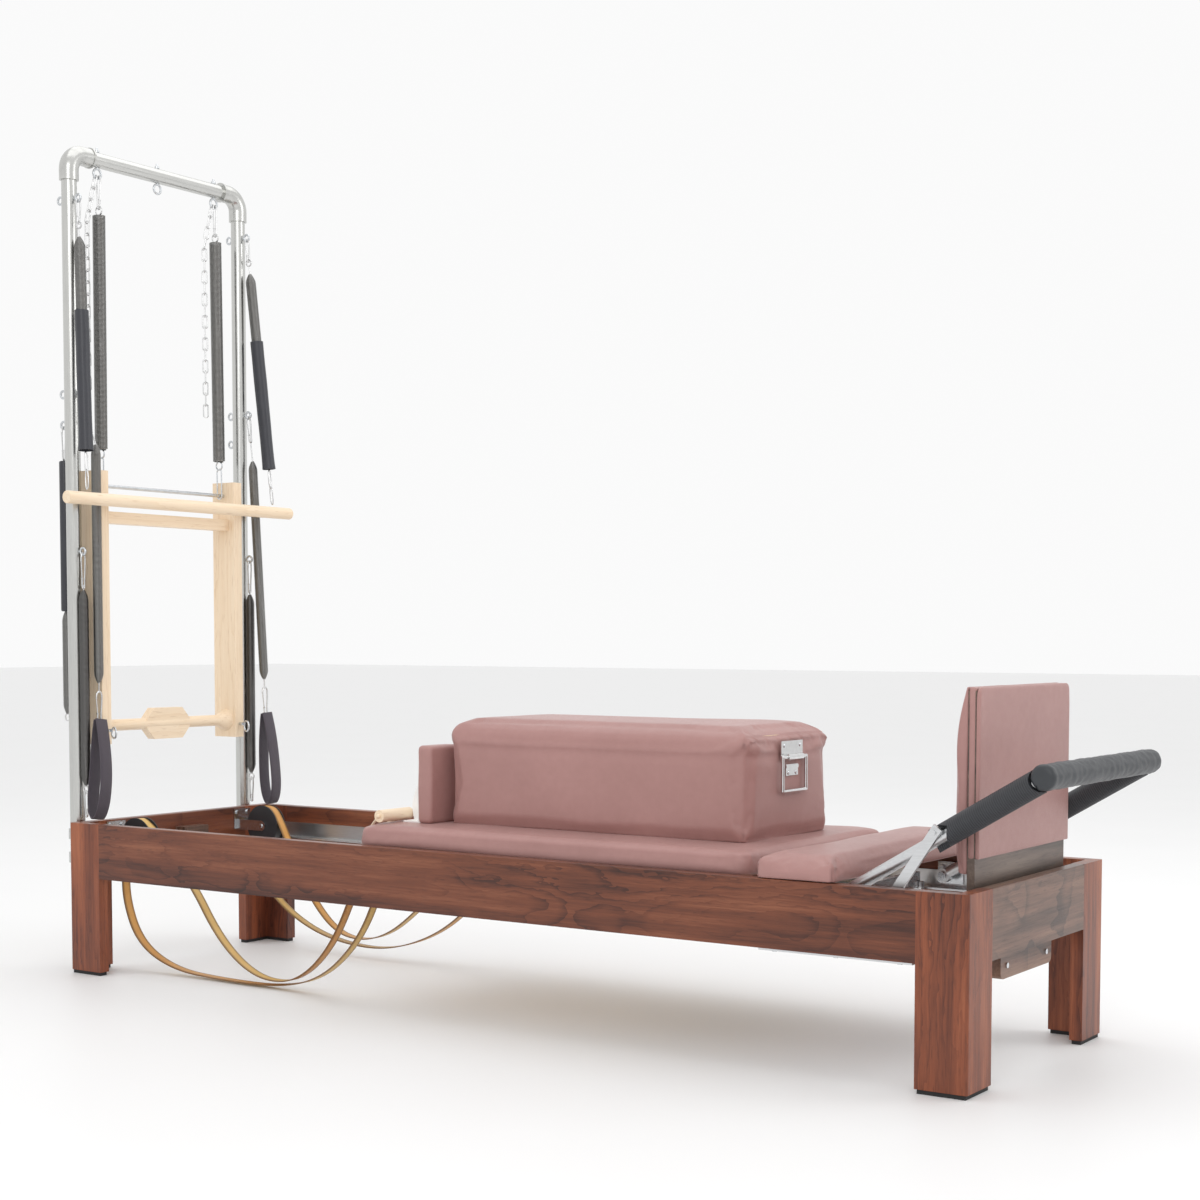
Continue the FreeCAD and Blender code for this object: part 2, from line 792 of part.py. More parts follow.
def carriage():
    x0, x1 = carriage_start, carriage_start + carriage_length
    top = block(x0, x1, -carriage_half, carriage_half, carriage_board_bottom, cushion_bottom)
    low = track_height + beam_gap
    beam = block(x0, x1, -beam_outer, beam_width - beam_outer, low, carriage_board_bottom)
    c = cleat_width / 2
    cleat = block(x0, x0 + cleat_depth, -pulley_y - c, -pulley_y + c, strap_clip_z, carriage_board_bottom)
    span = beam_outer - beam_width
    w = cross_beam_width
    places = (carriage_spring_anchor - w, x0 + cross_beam_inset, x1 - cross_beam_inset)
    cross = [block(x, x + w, -span, span, track_height - track_wall, carriage_board_bottom) for x in places]
    frame = joined([top] + both(beam) + both(cleat) + cross)
    for i in range(spring_count):
        y = (i - (spring_count - 1) / 2) * spring_pitch
        a = (carriage_spring_anchor + 1, y, carriage_spring_z)
        frame = frame.cut(bar(a, (x1, y, carriage_spring_z), carriage_spring_radius + spring_hole_gap))
    places = (x0 + wheel_end_inset, x1 - wheel_end_inset)
    axles = []
    end = wheel_y + wheel_width / 2 + axle_end
    for x in places:
        axle = bar((x, -end, axle_z), (x, beam_width - beam_outer, axle_z), axle_radius)
        frame = frame.cut(axle).cut(mirrored(axle))
        axles += both(axle)
    parts["carriage_frame"] = frame
    parts["wheel_axles"] = group(axles)
    for name, x in zip(("wheels_head", "wheels_foot"), places):
        a = (x, -wheel_y - wheel_width / 2, axle_z)
        b = (x, -wheel_y + wheel_width / 2, axle_z)
        parts[name] = group(both(pipe(a, b, wheel_radius, axle_radius + run_gap)))

    c0 = x0 - cushion_overhang
    c1 = x1 + cushion_overhang
    pad = block(c0, c1, -cushion_half, cushion_half, cushion_bottom, cushion_top)
    pad = pad.makeFillet(cushion_corner, edges_along(pad, V(0, 0, 1), lambda c: True))
    pad = pad.makeFillet(cushion_round, [e for e in pad.Edges if e.CenterOfMass.z > cushion_top - 0.1])
    x = rest_start_x - rest_pin_setback
    for s in sides:
        for t in sides:
            y = s * (rest_inner_y + rest_width / 2 + t * rest_pin_spread)
            pad = pad.cut(bar((x, y, cushion_bottom), (x, y, cushion_top), rest_pin + rest_pin_gap))
    parts["carriage_cushion"] = pad

    springs = []
    for i in range(spring_count):
        y = (i - (spring_count - 1) / 2) * spring_pitch
        a = (carriage_spring_anchor, y, carriage_spring_z)
        b = (spring_bar_x, y, carriage_spring_z)
        springs.append(spring(a, b, carriage_spring_radius, carriage_spring_wall, coil_end))
    parts["carriage_springs"] = group(springs)
    wide, tall = spring_bar_size
    x, z = spring_bar_x, track_height + part_gap
    parts["spring_bar"] = block(x, x + wide, -spring_bar_half, spring_bar_half, z, z + tall)


def shoulder_rests():
    """Upright steel plates with a curved rib, each carrying a padded block."""
    y0, y1 = -rest_inner_y - rest_width, -rest_inner_y
    middle = (y0 + y1) / 2
    z0 = cushion_top + part_gap
    floor = z0 + rest_base
    x0 = rest_start_x
    back = x0 - rest_plate
    near, far = y0 + rest_plate_inset, y1 - rest_plate_inset
    upright = block(back, x0, near, far, z0, z0 + rest_height - rest_plate_drop)
    base = block(back - gusset_reach, x0, near, far, z0, floor)
    y = middle - rest_rib / 2
    corner = V(back - gusset_reach, y, floor)
    a = V(back, y, floor)
    b = V(back, y, floor + gusset_height)
    out, rise = rest_rib_bulge
    bulge = V(back - gusset_reach * out, y, floor + gusset_height * rise)
    outline = Part.Wire([
        Part.LineSegment(corner, a).toShape(),
        Part.LineSegment(a, b).toShape(),
        Part.Arc(b, bulge, corner).toShape(),
    ])
    rib = Part.Face(outline).extrude(V(0, rest_rib, 0))
    pins = []
    x = x0 - rest_pin_setback
    for t in sides:
        y = middle + t * rest_pin_spread
        pins.append(bar((x, y, cushion_bottom + 2 * part_gap), (x, y, z0 + part_gap), rest_pin))
    plate = joined([upright, base, rib] + pins)
    parts["shoulder_plates"] = group(both(plate))
    pad = block(x0, x0 + rest_pad, y0, y1, z0, z0 + rest_height)
    pad = pad.makeFillet(rest_corner, pad.Edges)
    parts["shoulder_pads"] = group(both(pad))


def strap_handles():
    """A wooden grip on a pin, in a wire bracket whose flat eye takes the strap."""
    y = -pulley_y
    h = grip_length / 2
    grip = pipe((grip_x, y - h, grip_z), (grip_x, y + h, grip_z), grip_radius, grip_bore)
    deep, wide, tall = handle_eye
    cross_x, cross_z = handle_apex_x + deep - strap_end_gap, handle_apex_z + tall
    cross_half = wide + 1
    arms = []
    for s in sides:
        a = V(grip_x, y + s * (h + handle_end), grip_z)
        b = V(cross_x, y + s * cross_half, cross_z)
        arms += [bar(a, b, handle_wire), Part.makeSphere(handle_wire, b), Part.makeSphere(handle_ball, a)]
    arms.append(bar((cross_x, y - cross_half, cross_z), (cross_x, y + cross_half, cross_z), handle_wire))
    pin_half = h + handle_end
    arms.append(bar((grip_x, y - pin_half, grip_z), (grip_x, y + pin_half, grip_z), grip_bore))
    front = handle_apex_x + strap_end_gap
    eye = block(front, handle_apex_x + deep, y - wide, y + wide, handle_apex_z - 1, cross_z - 1)
    bracket = joined(arms + [eye])
    parts["strap_handles"] = group(both(grip) + both(bracket))


# ---- the footbar ----


def footbar():
    """A bent tube on two pins, held up by a flat prop on each side."""
    angle = math.radians(foot_arm_angle)
    way = V(math.cos(angle), 0, math.sin(angle))
    pivot = V(foot_pivot_x, -foot_arm_y, foot_pivot_z)
    corner = pivot + way * foot_arm_length
    a = corner - way * foot_bend
    b = corner + V(0, foot_bend, 0)
    side = foot_bend * (1 - math.sqrt(0.5))
    mid = corner + (V(0, 1, 0) - way) * side
    start = pivot + way * (foot_boss - 2)
    far_start, far_a, far_mid, far_b = [V(p.x, -p.y, p.z) for p in (start, a, mid, b)]
    path = Part.Wire([
        Part.LineSegment(start, a).toShape(),
        Part.Arc(a, mid, b).toShape(),
        Part.LineSegment(b, far_b).toShape(),
        Part.Arc(far_b, far_mid, far_a).toShape(),
        Part.LineSegment(far_a, far_start).toShape(),
    ])
    profile = Part.Wire(Part.makeCircle(foot_tube, start, way))
    tube = path.makePipeShell([profile], True, False)
    x, y, z = pivot
    bosses = both(crosswise(x, y, z, foot_boss, foot_boss_half))
    frame = joined([tube] + bosses)
    for bore in both(crosswise(x, y, z, foot_pin + run_gap, 2 * foot_boss_half)):
        frame = frame.cut(bore)
    ear = pivot + way * prop_pivot + V(-math.sin(angle), 0, math.cos(angle)) * prop_offset
    lug_y = -foot_arm_y - foot_tube - lug_gap
    reach, drop, rise = lug_size
    lug = block(ear.x - reach, ear.x + reach, lug_y + lug_wall, -foot_arm_y, ear.z - drop, ear.z + rise)
    pin = bar((ear.x, lug_y - prop_thick - lug_wall, ear.z), (ear.x, -foot_arm_y, ear.z), prop_pin)
    frame = joined([frame] + both(lug) + both(pin))
    parts["footbar_frame"] = frame

    half_pad = foot_arm_y + foot_pad_end
    pad = crosswise(corner.x, 0, corner.z, foot_pad_thick, half_pad)
    parts["footbar_pad"] = pad.cut(tube)
    sleeve = bar(pivot + way * sleeve_start, corner, foot_sleeve).cut(tube).cut(pad)
    x0, x1 = ear.x - notch_back, ear.x + notch_front
    outside = lug_y - prop_thick - lug_wall - 1
    notch = block(x0, x1, outside, -foot_arm_y, ear.z - notch_drop, ear.z + notch_rise)
    parts["footbar_sleeves"] = group(both(sleeve.cut(notch)))

    prop = Part.makeBox(prop_length + prop_end, prop_thick, prop_width, V(-prop_end, 0, -prop_width / 2))
    prop = prop.cut(crosswise(0, 0, 0, prop_pin + run_gap, 2 * prop_thick))
    prop.rotate(V(0, 0, 0), V(0, 1, 0), -prop_angle)
    prop.translate(V(ear.x, lug_y + prop_gap - prop_thick, ear.z))
    parts["footbar_props"] = group(both(prop))

    out = -inner_half + track_wall
    inside = out + foot_plate_wall
    reach, drop, rise = foot_plate
    plate = block(x - reach, x + reach, out, inside, z - drop, z + rise)
    pin = bar((x, out, z), (x, foot_pin_end - foot_arm_y, z), foot_pin)
    near, far, lip = foot_cap
    cap = bar((x, near - foot_arm_y, z), (x, far - foot_arm_y, z), foot_pin + lip)
    away, rise, radius, tall = foot_bolt
    heads = []
    for s in sides:
        foot = V(x + s * away, inside, z + rise)
        heads.append(bar(foot, foot + V(0, tall, 0), radius))
    parts["footbar_brackets"] = group(both(joined([plate, pin, cap] + heads)))
    return ear


# ---- the sitting box, jump board and foot platform ----


def sitting_box():
    """A hollow wooden core in a padded cover, with a chest handle on each end."""
    x0, x1 = box_start, box_start + box_length
    h = box_width / 2
    outer = block(x0, x1, -h, h, box_bottom, box_top)
    outer = outer.makeFillet(box_corner, edges_along(outer, V(0, 0, 1), lambda c: True))
    outer = outer.makeFillet(box_round, [e for e in outer.Edges if e.CenterOfMass.z > box_top - 0.1])
    t = box_cover
    core = block(x0 + t, x1 - t, -h + t, h - t, box_bottom, box_top - t)
    parts["box_cover"] = outer.cut(core)
    w = t + box_board
    hollow = block(x0 + w, x1 - w, -h + w, h - w, box_bottom, box_top - w)
    parts["box_core"] = core.cut(hollow)
    plates = chest_handle("box_bail_head", x0, -1) + chest_handle("box_bail_foot", x1, 1)
    parts["box_handle_plates"] = group(plates)


def chest_handle(name, face, s):
    """Makes the bail under its name and returns its two plates. s points out of the box's face."""

    def slab(near, far, half_wide, low, high):
        lo, hi = sorted((face + s * near, face + s * far))
        return block(lo, hi, -half_wide, half_wide, handle_z + low, handle_z + high)

    x = face + s * bail_offset
    half_wide, low, high = upper_plate
    upper = slab(0, handle_plate_wall, half_wide, low, high)
    half_wide, low, high = lower_plate
    lower = slab(0, handle_plate_wall, half_wide, low, high)
    thick, low, high = bail_stop
    stop = slab(0, thick, half_wide, low, high)
    half_wide, radius, play = knuckle
    hinge = pipe((x, -half_wide, handle_z), (x, half_wide, handle_z), radius, bail_wire + play)
    near, low, high, room = knuckle_web
    web = slab(near, bail_offset, half_wide, low, high).cut(crosswise(x, 0, handle_z, room, 2 * half_wide))
    h = handle_width / 2
    ends = [V(x, y, handle_z) for y in (-h, h)]
    feet = [V(x, y, handle_z - handle_reach) for y in (-h, h)]
    rods = [bar(*ends, bail_wire), bar(*feet, bail_wire)]
    rods += [bar(a, b, bail_wire) for a, b in zip(ends, feet)]
    balls = [Part.makeSphere(bail_wire, p) for p in ends + feet]
    parts[name] = joined(rods + balls)
    return [joined([upper, hinge, web]), joined([lower, stop])]


def jump_board_parts():
    x0, x1 = jump_front, jump_front + jump_board
    block_top = rail_bottom + block_height / 2
    h = jump_half - jump_panel_inset
    under_cap = jump_top - jump_cap
    parts["jump_board_panel"] = block(x0, x1, -h, h, block_top + jump_gap, under_cap)
    low = frame_height - jump_front_drop
    front = block(x0 - jump_pad, x0, -jump_half, jump_half, low, jump_top)
    front = front.makeFillet(jump_round, edges_along(front, V(0, 1, 0), lambda c: c.x < x0 - 1))
    back = block(x1, x1 + jump_back_pad, -jump_half, jump_half, jump_cover_bottom, jump_top)
    cap = block(x0, x1, -jump_half, jump_half, under_cap, jump_top)
    parts["jump_board_cushion"] = joined([front, back, cap])

    z0 = frame_height + part_gap
    pad = block(platform_start, platform_start + platform_length, -half, half, z0, z0 + platform_thick)
    rim = [e for e in pad.Edges if e.CenterOfMass.z > z0 + platform_thick - 0.1]
    parts["foot_platform"] = pad.makeFillet(platform_round, rim)


# ---- what hangs on the tower ----


def snap_hook(top, down, face, length):
    """A snap hook as its outer wire. face is the way its flat side spreads."""
    return link(top, down, face, hook_half, length, hook_wire)


def hang_point(eye):
    """Where a hook's upper bend lies inside a post's eye."""
    return eye + V(0, 0, bolt_radius + hook_wire + hook_play - post_eye_radius)


def roll_down():
    """A wooden bar on two sprung lines from the upper eyes of the posts."""
    springs, hooks, sleeves = [], [], []
    for s in sides:
        eye = V(post_x + eye_offset, s * post_y, post_eye_heights[0])
        end = V(roll_bar_x, s * roll_groove_y, roll_bar_z + roll_bar_radius)
        way = (end - eye).normalize()
        top = hang_point(eye)
        at = top + way * roll_knot
        a, b = [at + way * far for far in roll_spring_span]
        c, d = [at + way * far for far in roll_sleeve_span]
        hooks.append(snap_hook(top, way, (0, 1, 0), roll_hook_length))
        hooks.append(ring(at + way * ring_radius, (0, 1, 0), ring_radius, ring_wire))
        hooks.append(bar(at + way * (2 * ring_radius - 1), a + way * 3, roll_wire))
        springs.append(spring(a, b, roll_coil_radius, coil_wall, coil_end))
        sleeves.append(pipe(c, d, sleeve_radius, sleeve_radius - sleeve_wall))
        e = b + way * roll_link_gap
        long = (end - e).Length / 2
        f = e + way * (long - roll_link_lap)
        sleeves.append(link(e, way, (0, 1, 0), roll_link_half, long, stem_wire))
        sleeves.append(link(f, way, (1, 0, 0), roll_link_half, long, roll_wire))
    parts["roll_down_springs"] = group(springs)
    parts["roll_down_hooks"] = group(hooks)
    parts["roll_down_sleeves"] = group(sleeves)
    h = roll_bar_length / 2
    dowel = bar((roll_bar_x, -h, roll_bar_z), (roll_bar_x, h, roll_bar_z), roll_bar_radius)
    rims = [e for e in dowel.Edges if isinstance(e.Curve, Part.Circle)]
    parts["roll_down_bar"] = dowel.makeFillet(roll_end_round, rims)


def push_through():
    """A wooden frame on two long springs, with a round foot bar and a centre pad."""
    x0, x1 = push_x - push_depth / 2, push_x + push_depth / 2
    y0, y1 = -push_inner_y - push_plate, -push_inner_y
    plate = block(x0, x1, y0, y1, push_bottom, push_top)
    parts["push_frame_plates"] = group(both(plate))
    d = push_board_depth / 2
    h = push_board_height / 2
    low, high = push_board_z - h, push_board_z + h
    parts["push_frame_board"] = block(push_x - d, push_x + d, y1, -y1, low, high)
    metal = [bar((push_x, y1, push_rod_z), (push_x, -y1, push_rod_z), push_rod_radius)]
    loop_radius, loop_wire, loop_turn = low_ring
    shank_long, shank_radius = low_ring_shank
    shank_z, loop_z = [push_bottom + rise for rise in low_ring_rises]
    for s in sides:
        y = s * (push_inner_y + push_plate / 2)
        shank = bar((x1, y, shank_z), (x1 + shank_long, y, shank_z), shank_radius)
        loop = ring((x1 + shank_long + loop_radius, y, loop_z), (loop_turn, 1, 0), loop_radius, loop_wire)
        metal.append(joined([shank, loop]))
    round_bar = bar((push_x, y1, push_bar_z), (push_x, -y1, push_bar_z), push_bar_radius)
    l, t, c = pad_length / 2, pad_tall / 2, pad_chamfer
    e = t - c - pad_blunt
    outline = [(-l, -e), (-l + c, -t), (l - c, -t), (l, -e), (l, e), (l - c, t), (c - l, t), (-l, e)]
    pts = [V(push_x - pad_thick / 2, y, push_bar_z + z) for y, z in outline]
    pad = Part.Face(Part.makePolygon(pts + pts[:1])).extrude(V(pad_thick, 0, 0))
    flares = []
    flare_radius, flare_long = push_flare
    for s in sides:
        face = V(push_x, s * push_inner_y, push_bar_z)
        flares.append(Part.makeCone(flare_radius, push_bar_radius, flare_long, face, V(0, -s, 0)))
    parts["push_frame_foot_bar"] = joined([round_bar, pad] + flares)

    springs, hooks = [], []
    top_z = tower_height - bar_eye_drop - bar_eye_radius + bolt_radius + hook_wire + ring_play
    for s in sides:
        top = V(post_x, s * bar_eye_pitch + push_hook_side, top_z)
        end = V(push_x, s * push_rod_eye_y, push_rod_z + push_rod_radius)
        way = (end - top).normalize()
        hooks.append(snap_hook(top, way, (1, 0, 0), push_hook_length))
        at = top + way * push_knot
        hooks.append(ring(at + way * (push_ring_radius - 1), (0, 1, 0), push_ring_radius, ring_wire))
        a = at + way * (2 * ring_radius + push_spring_gap)
        b = end - way * push_spring_rest
        springs.append(spring(a, b, push_coil_radius, coil_wall))
        low_centre = b + way * (ring_radius + push_ring_gap)
        metal.append(ring(low_centre, (0, 1, 0), push_ring_radius, ring_wire))
        c = low_centre + way * ring_radius
        half_width = push_rod_radius + push_link_gap
        long = (end - c).Length + push_link_reach
        metal.append(link(c, way, (1, 0, 0), half_width, long, push_link_wire))
    parts["push_frame_springs"] = group(springs)
    parts["push_frame_hooks"] = group(hooks)
    parts["push_frame_rod"] = group(metal)


def chains():
    """Two plain chains from the crossbar's outer eyes, each beside a spring."""
    eye_z = tower_height - bar_eye_drop
    top_z = eye_z - bar_eye_radius + bolt_radius + chain_wire + chain_play
    names = ("chain_left", "chain_right")
    for name, s, count, twist in zip(names, sides, chain_links, chain_twists):
        top = V(post_x, s * bar_eye_pitch - chain_side, top_z)
        links = []
        for i in range(count):
            lean = chain_lean if i < chain_lean_links else V(0, 0, 0)
            way = V(lean.x, lean.y, -chain_pitch).normalize()
            turn = math.radians(i % 2 * 90 + min(i, 2) * twist / 2)
            face = (math.cos(turn), math.sin(turn), 0)
            links.append(link(top, way, face, chain_half, chain_link_length, chain_wire))
            top = top + way * chain_pitch
        parts[name] = group(links)


def leg_spring(eye):
    """A long spring on a snap hook, with a ring and a second hook below."""
    top = hang_point(eye)
    down = V(0, 0, -1)
    a = top + down * leg_knot
    b = V(a.x, a.y, leg_spring_bottom)
    return group([
        snap_hook(top, down, (0, 1, 0), leg_hook_length),
        bar(a - down * 3, a + down * (leg_coil_gap + 2), stem_wire),
        spring(a + down * leg_coil_gap, b, coil_radius, coil_wall, coil_end),
        bar(b - down * 4, b + down * 3, stem_wire),
        ring(b + down * (ring_radius + 2), (0, 1, 0), ring_radius, ring_wire),
        link(b + down * (ring_radius + 5), down, (1, 0, 0), hook_half, low_hook_length, hook_wire),
    ])


def arm_spring(s, top_at, end_at):
    """The pieces of one arm spring, its hook and its lower link, and where its webbing hangs."""
    a = V(top_at[0], s * (post_y + top_at[1]), arm_spring_top)
    b = V(end_at[0], s * (post_y + end_at[1]), arm_spring_bottom)
    top = hang_point(V(post_x + eye_offset, s * post_y, post_eye_heights[1]))
    way = (a - top).normalize()
    down = (b - a).normalize()
    lap = b + down * (arm_stem - arm_link_lap)
    pieces = [
        snap_hook(top, way, (0, 1, 0), arm_hook_length),
        bar(top + way * (arm_knot + 2), a, stem_wire),
        spring(a, b, coil_radius, coil_wall, coil_end),
        bar(b - down * 3, b + down * arm_stem, stem_wire),
        link(lap, down, (0, 1, 0), arm_link_half, arm_link_length, hook_wire),
    ]
    return pieces, b + down * webbing_drop


def webbing(low, forward, lean):
    """A loop of webbing under an arm spring. forward moves its fall away from the post."""
    scale = (low.z - frame_height - webbing_gap) / webbing_fall
    path = []
    for x, z in webbing_loop:
        fade = (1 - math.cos(min(-z, webbing_fade) / webbing_fade * math.pi)) / 2
        path.append((low.x + x + forward * fade, low.z + z * scale))
    loop = band(path, low.y, webbing_width, webbing_thick, "webbing")
    loop.rotate(low, V(1, 0, 0), lean)
    return loop


def hung_springs():
    """Springs that hang from the posts: two long ones each side, and one behind the left post."""
    springs = []
    for i, name in enumerate(("left", "right")):
        s = sides[i]
        eye = V(post_x + eye_offset, s * post_y, post_eye_heights[2])
        parts[f"leg_spring_{name}"] = leg_spring(eye)
        pieces, low = arm_spring(s, arm_tops[i], arm_ends[i])
        springs += pieces
        parts[f"webbing_{name}"] = webbing(low, webbing_forwards[i], webbing_leans[i])
    parts["arm_springs"] = group(springs)

    top = hang_point(V(post_x - eye_offset, -post_y, rear_eye_height))
    down = V(0, 0, -1)
    a = top + down * rear_knot
    radius, tip, long = rear_sleeve
    parts["rear_spring"] = group([
        snap_hook(top, down, (0, 1, 0), rear_hook_length),
        bar(a - down * 6, a + down * 2, stem_wire),
        spring(a, a + down * long, radius, coil_wall, tip),
        spring(a + down * long, a + down * rear_tail, rear_coil_radius, coil_wall, coil_end),
        ring(a + down * (rear_tail + ring_radius), (0, 1, 0), ring_radius, ring_wire),
    ])


frame_boards()
tower(frame_metal())
pulleys()
straps()
carriage()
shoulder_rests()
strap_handles()
prop_ear = footbar()
sitting_box()
jump_board_parts()
roll_down()
push_through()
chains()
hung_springs()

rigid = [s for n, s in parts.items() if not n.startswith(("strap_", "webbing_"))]
spans = [s.BoundBox for s in rigid]
origin_x = round((min(b.XMin for b in spans) + max(b.XMax for b in spans)) / 2, 1)
print("nodes", len(parts), "origin_x", origin_x, "x", min(b.XMin for b in spans), max(b.XMax for b in spans))
print("y", min(b.YMin for b in spans), max(b.YMax for b in spans), "z", max(b.ZMax for b in spans))

os.makedirs("parts", exist_ok=True)
for name, shape in parts.items():
    placed = shape.translated(V(-origin_x, 0, 0))
    if not placed.isValid():
        print("not valid:", name)
    placed.exportStep(f"parts/{name}.step")
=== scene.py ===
import math
import bmesh
import bpy
from mathutils import Matrix, Vector, noise


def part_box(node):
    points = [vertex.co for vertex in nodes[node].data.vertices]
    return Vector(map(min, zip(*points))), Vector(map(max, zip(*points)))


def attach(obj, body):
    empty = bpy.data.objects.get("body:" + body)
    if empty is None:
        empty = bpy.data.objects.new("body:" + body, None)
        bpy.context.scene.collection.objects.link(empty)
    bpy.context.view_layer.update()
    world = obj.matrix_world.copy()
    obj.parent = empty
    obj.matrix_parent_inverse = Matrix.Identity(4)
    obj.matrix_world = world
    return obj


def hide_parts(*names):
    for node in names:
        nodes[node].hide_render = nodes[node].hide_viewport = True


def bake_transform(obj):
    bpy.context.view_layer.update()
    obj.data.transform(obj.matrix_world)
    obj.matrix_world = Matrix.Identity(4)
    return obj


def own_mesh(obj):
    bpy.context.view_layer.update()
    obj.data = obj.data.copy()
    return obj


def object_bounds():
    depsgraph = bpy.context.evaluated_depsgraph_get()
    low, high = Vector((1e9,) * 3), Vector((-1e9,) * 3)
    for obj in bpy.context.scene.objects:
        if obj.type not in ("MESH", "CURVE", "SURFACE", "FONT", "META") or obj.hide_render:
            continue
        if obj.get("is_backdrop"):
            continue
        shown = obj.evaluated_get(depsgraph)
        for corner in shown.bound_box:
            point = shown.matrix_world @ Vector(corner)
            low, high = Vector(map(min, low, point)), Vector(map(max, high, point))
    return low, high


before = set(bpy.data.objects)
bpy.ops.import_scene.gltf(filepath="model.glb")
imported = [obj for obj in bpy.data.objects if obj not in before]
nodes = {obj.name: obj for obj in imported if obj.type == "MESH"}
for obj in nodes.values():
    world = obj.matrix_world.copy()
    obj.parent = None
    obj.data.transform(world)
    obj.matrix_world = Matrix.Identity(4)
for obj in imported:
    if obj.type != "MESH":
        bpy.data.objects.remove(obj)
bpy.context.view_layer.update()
scene = bpy.context.scene
scene.view_settings.view_transform = "Standard"
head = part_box("head_end_board")[0].x


# ---- hand tools ----


def only(obj):
    """Make obj the one selected and active object."""
    bpy.ops.object.select_all(action="DESELECT")
    obj.select_set(True)
    bpy.context.view_layer.objects.active = obj
    return obj


def select(kind, test):
    """In edit mode, select just the faces, edges or points whose place and normal pass a test."""
    bpy.ops.mesh.select_all(action="DESELECT")
    bpy.ops.mesh.select_mode(type=kind)
    mesh = bmesh.from_edit_mesh(bpy.context.active_object.data)
    items = {"FACE": mesh.faces, "EDGE": mesh.edges, "VERT": mesh.verts}[kind]
    for item in items:
        if kind == "FACE":
            item.select_set(test(item.calc_center_median(), item.normal))
        elif kind == "EDGE":
            a, b = (v.co for v in item.verts)
            item.select_set(test((a + b) / 2, (b - a).normalized()))
        else:
            item.select_set(test(item.co, item.normal))
    mesh.select_flush_mode()
    bmesh.update_edit_mesh(bpy.context.active_object.data)


def settle(obj):
    """Put an object's place into its mesh."""
    only(obj)
    bpy.ops.object.transform_apply(location=True, rotation=True, scale=True)
    return obj


def modify(obj, kind, **settings):
    """Add a modifier and apply it."""
    only(obj)
    modifier = obj.modifiers.new(kind.lower(), kind)
    for key, value in settings.items():
        setattr(modifier, key, value)
    bpy.ops.object.modifier_apply(modifier=modifier.name)
    return obj


def named(name):
    obj = bpy.context.active_object
    obj.name = name
    obj.data.name = name
    return obj


def cube(name, low, high):
    low, high = Vector(low), Vector(high)
    bpy.ops.object.select_all(action="DESELECT")
    bpy.ops.mesh.primitive_cube_add(size=1, location=(low + high) / 2, scale=high - low)
    return settle(named(name))


def smooth(obj, degrees=35):
    only(obj)
    bpy.ops.object.shade_smooth_by_angle(angle=math.radians(degrees))
    return obj


def joined(name, pieces):
    bpy.ops.object.select_all(action="DESELECT")
    for p in pieces:
        p.select_set(True)
    bpy.context.view_layer.objects.active = pieces[0]
    if len(pieces) > 1:
        bpy.ops.object.join()
    return named(name)


def turned(a, b, side=None):
    """The matrix that takes Z to the way from a to b, and X as near as it can to side."""
    z = (b - a).normalized()
    if side is None:
        side = (0, 1, 0) if abs(z.y) < 0.9 else (1, 0, 0)
    side = Vector(side)
    x = (side - z * side.dot(z)).normalized()
    y = z.cross(x)
    return Matrix.Translation(a) @ Matrix((x, y, z)).transposed().to_4x4()


def dressed(obj, body, slot, paint, *replaced):
    """Give a finished piece its material and its body."""
    obj.data.materials.clear()
    obj.data.materials.append(paint)
    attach(obj, body)
    if replaced:
        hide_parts(*replaced)
    return obj


def solids_of(node):
    """Each solid of a CAD node: its middle, its axes from the longest to the shortest, and its sizes."""
    mesh = nodes[node].data
    places, index = {}, []
    for v in mesh.vertices:
        key = tuple(round(c, 5) for c in v.co)
        index.append(places.setdefault(key, len(places)))
    points = [Vector(key) for key in places]
    parent = list(range(len(points)))

    def root(i):
        while parent[i] != i:
            parent[i] = parent[parent[i]]
            i = parent[i]
        return i

    for p in mesh.polygons:
        first = root(index[p.vertices[0]])
        for v in p.vertices[1:]:
            parent[root(index[v])] = first
    groups = {}
    for i, p in enumerate(points):
        groups.setdefault(root(i), []).append(p)
    found = []
    for group in groups.values():
        middle = sum(group, Vector()) / len(group)
        spread = Matrix(((0, 0, 0), (0, 0, 0), (0, 0, 0)))
        for p in group:
            d = p - middle
            for i in range(3):
                for j in range(3):
                    spread[i][j] += d[i] * d[j] / len(group)
        axes = principal(spread)
        spans = [[(p - middle).dot(a) for p in group] for a in axes]
        for a, span in zip(axes, spans):
            middle = middle + a * ((max(span) + min(span)) / 2)
        order = sorted(range(3), key=lambda i: min(spans[i]) - max(spans[i]))
        found.append({
            "middle": middle,
            "axes": [axes[i] for i in order],
            "sizes": [max(spans[i]) - min(spans[i]) for i in order],
        })
    return found


def principal(spread):
    """The axes of a symmetric matrix, by turning it a little at a time."""
    m = spread.copy()
    axes = Matrix.Identity(3)
    for _ in range(30):
        for i, j in ((0, 1), (0, 2), (1, 2)):
            if abs(m[i][j]) > 1e-14:
                angle = 0.5 * math.atan2(2 * m[i][j], m[j][j] - m[i][i])
                turn = Matrix.Identity(3)
                turn[i][i] = turn[j][j] = math.cos(angle)
                turn[i][j], turn[j][i] = math.sin(angle), -math.sin(angle)
                m = turn.transposed() @ m @ turn
                axes = axes @ turn
    return [axes.col[i].normalized() for i in range(3)]


# ---- materials ----


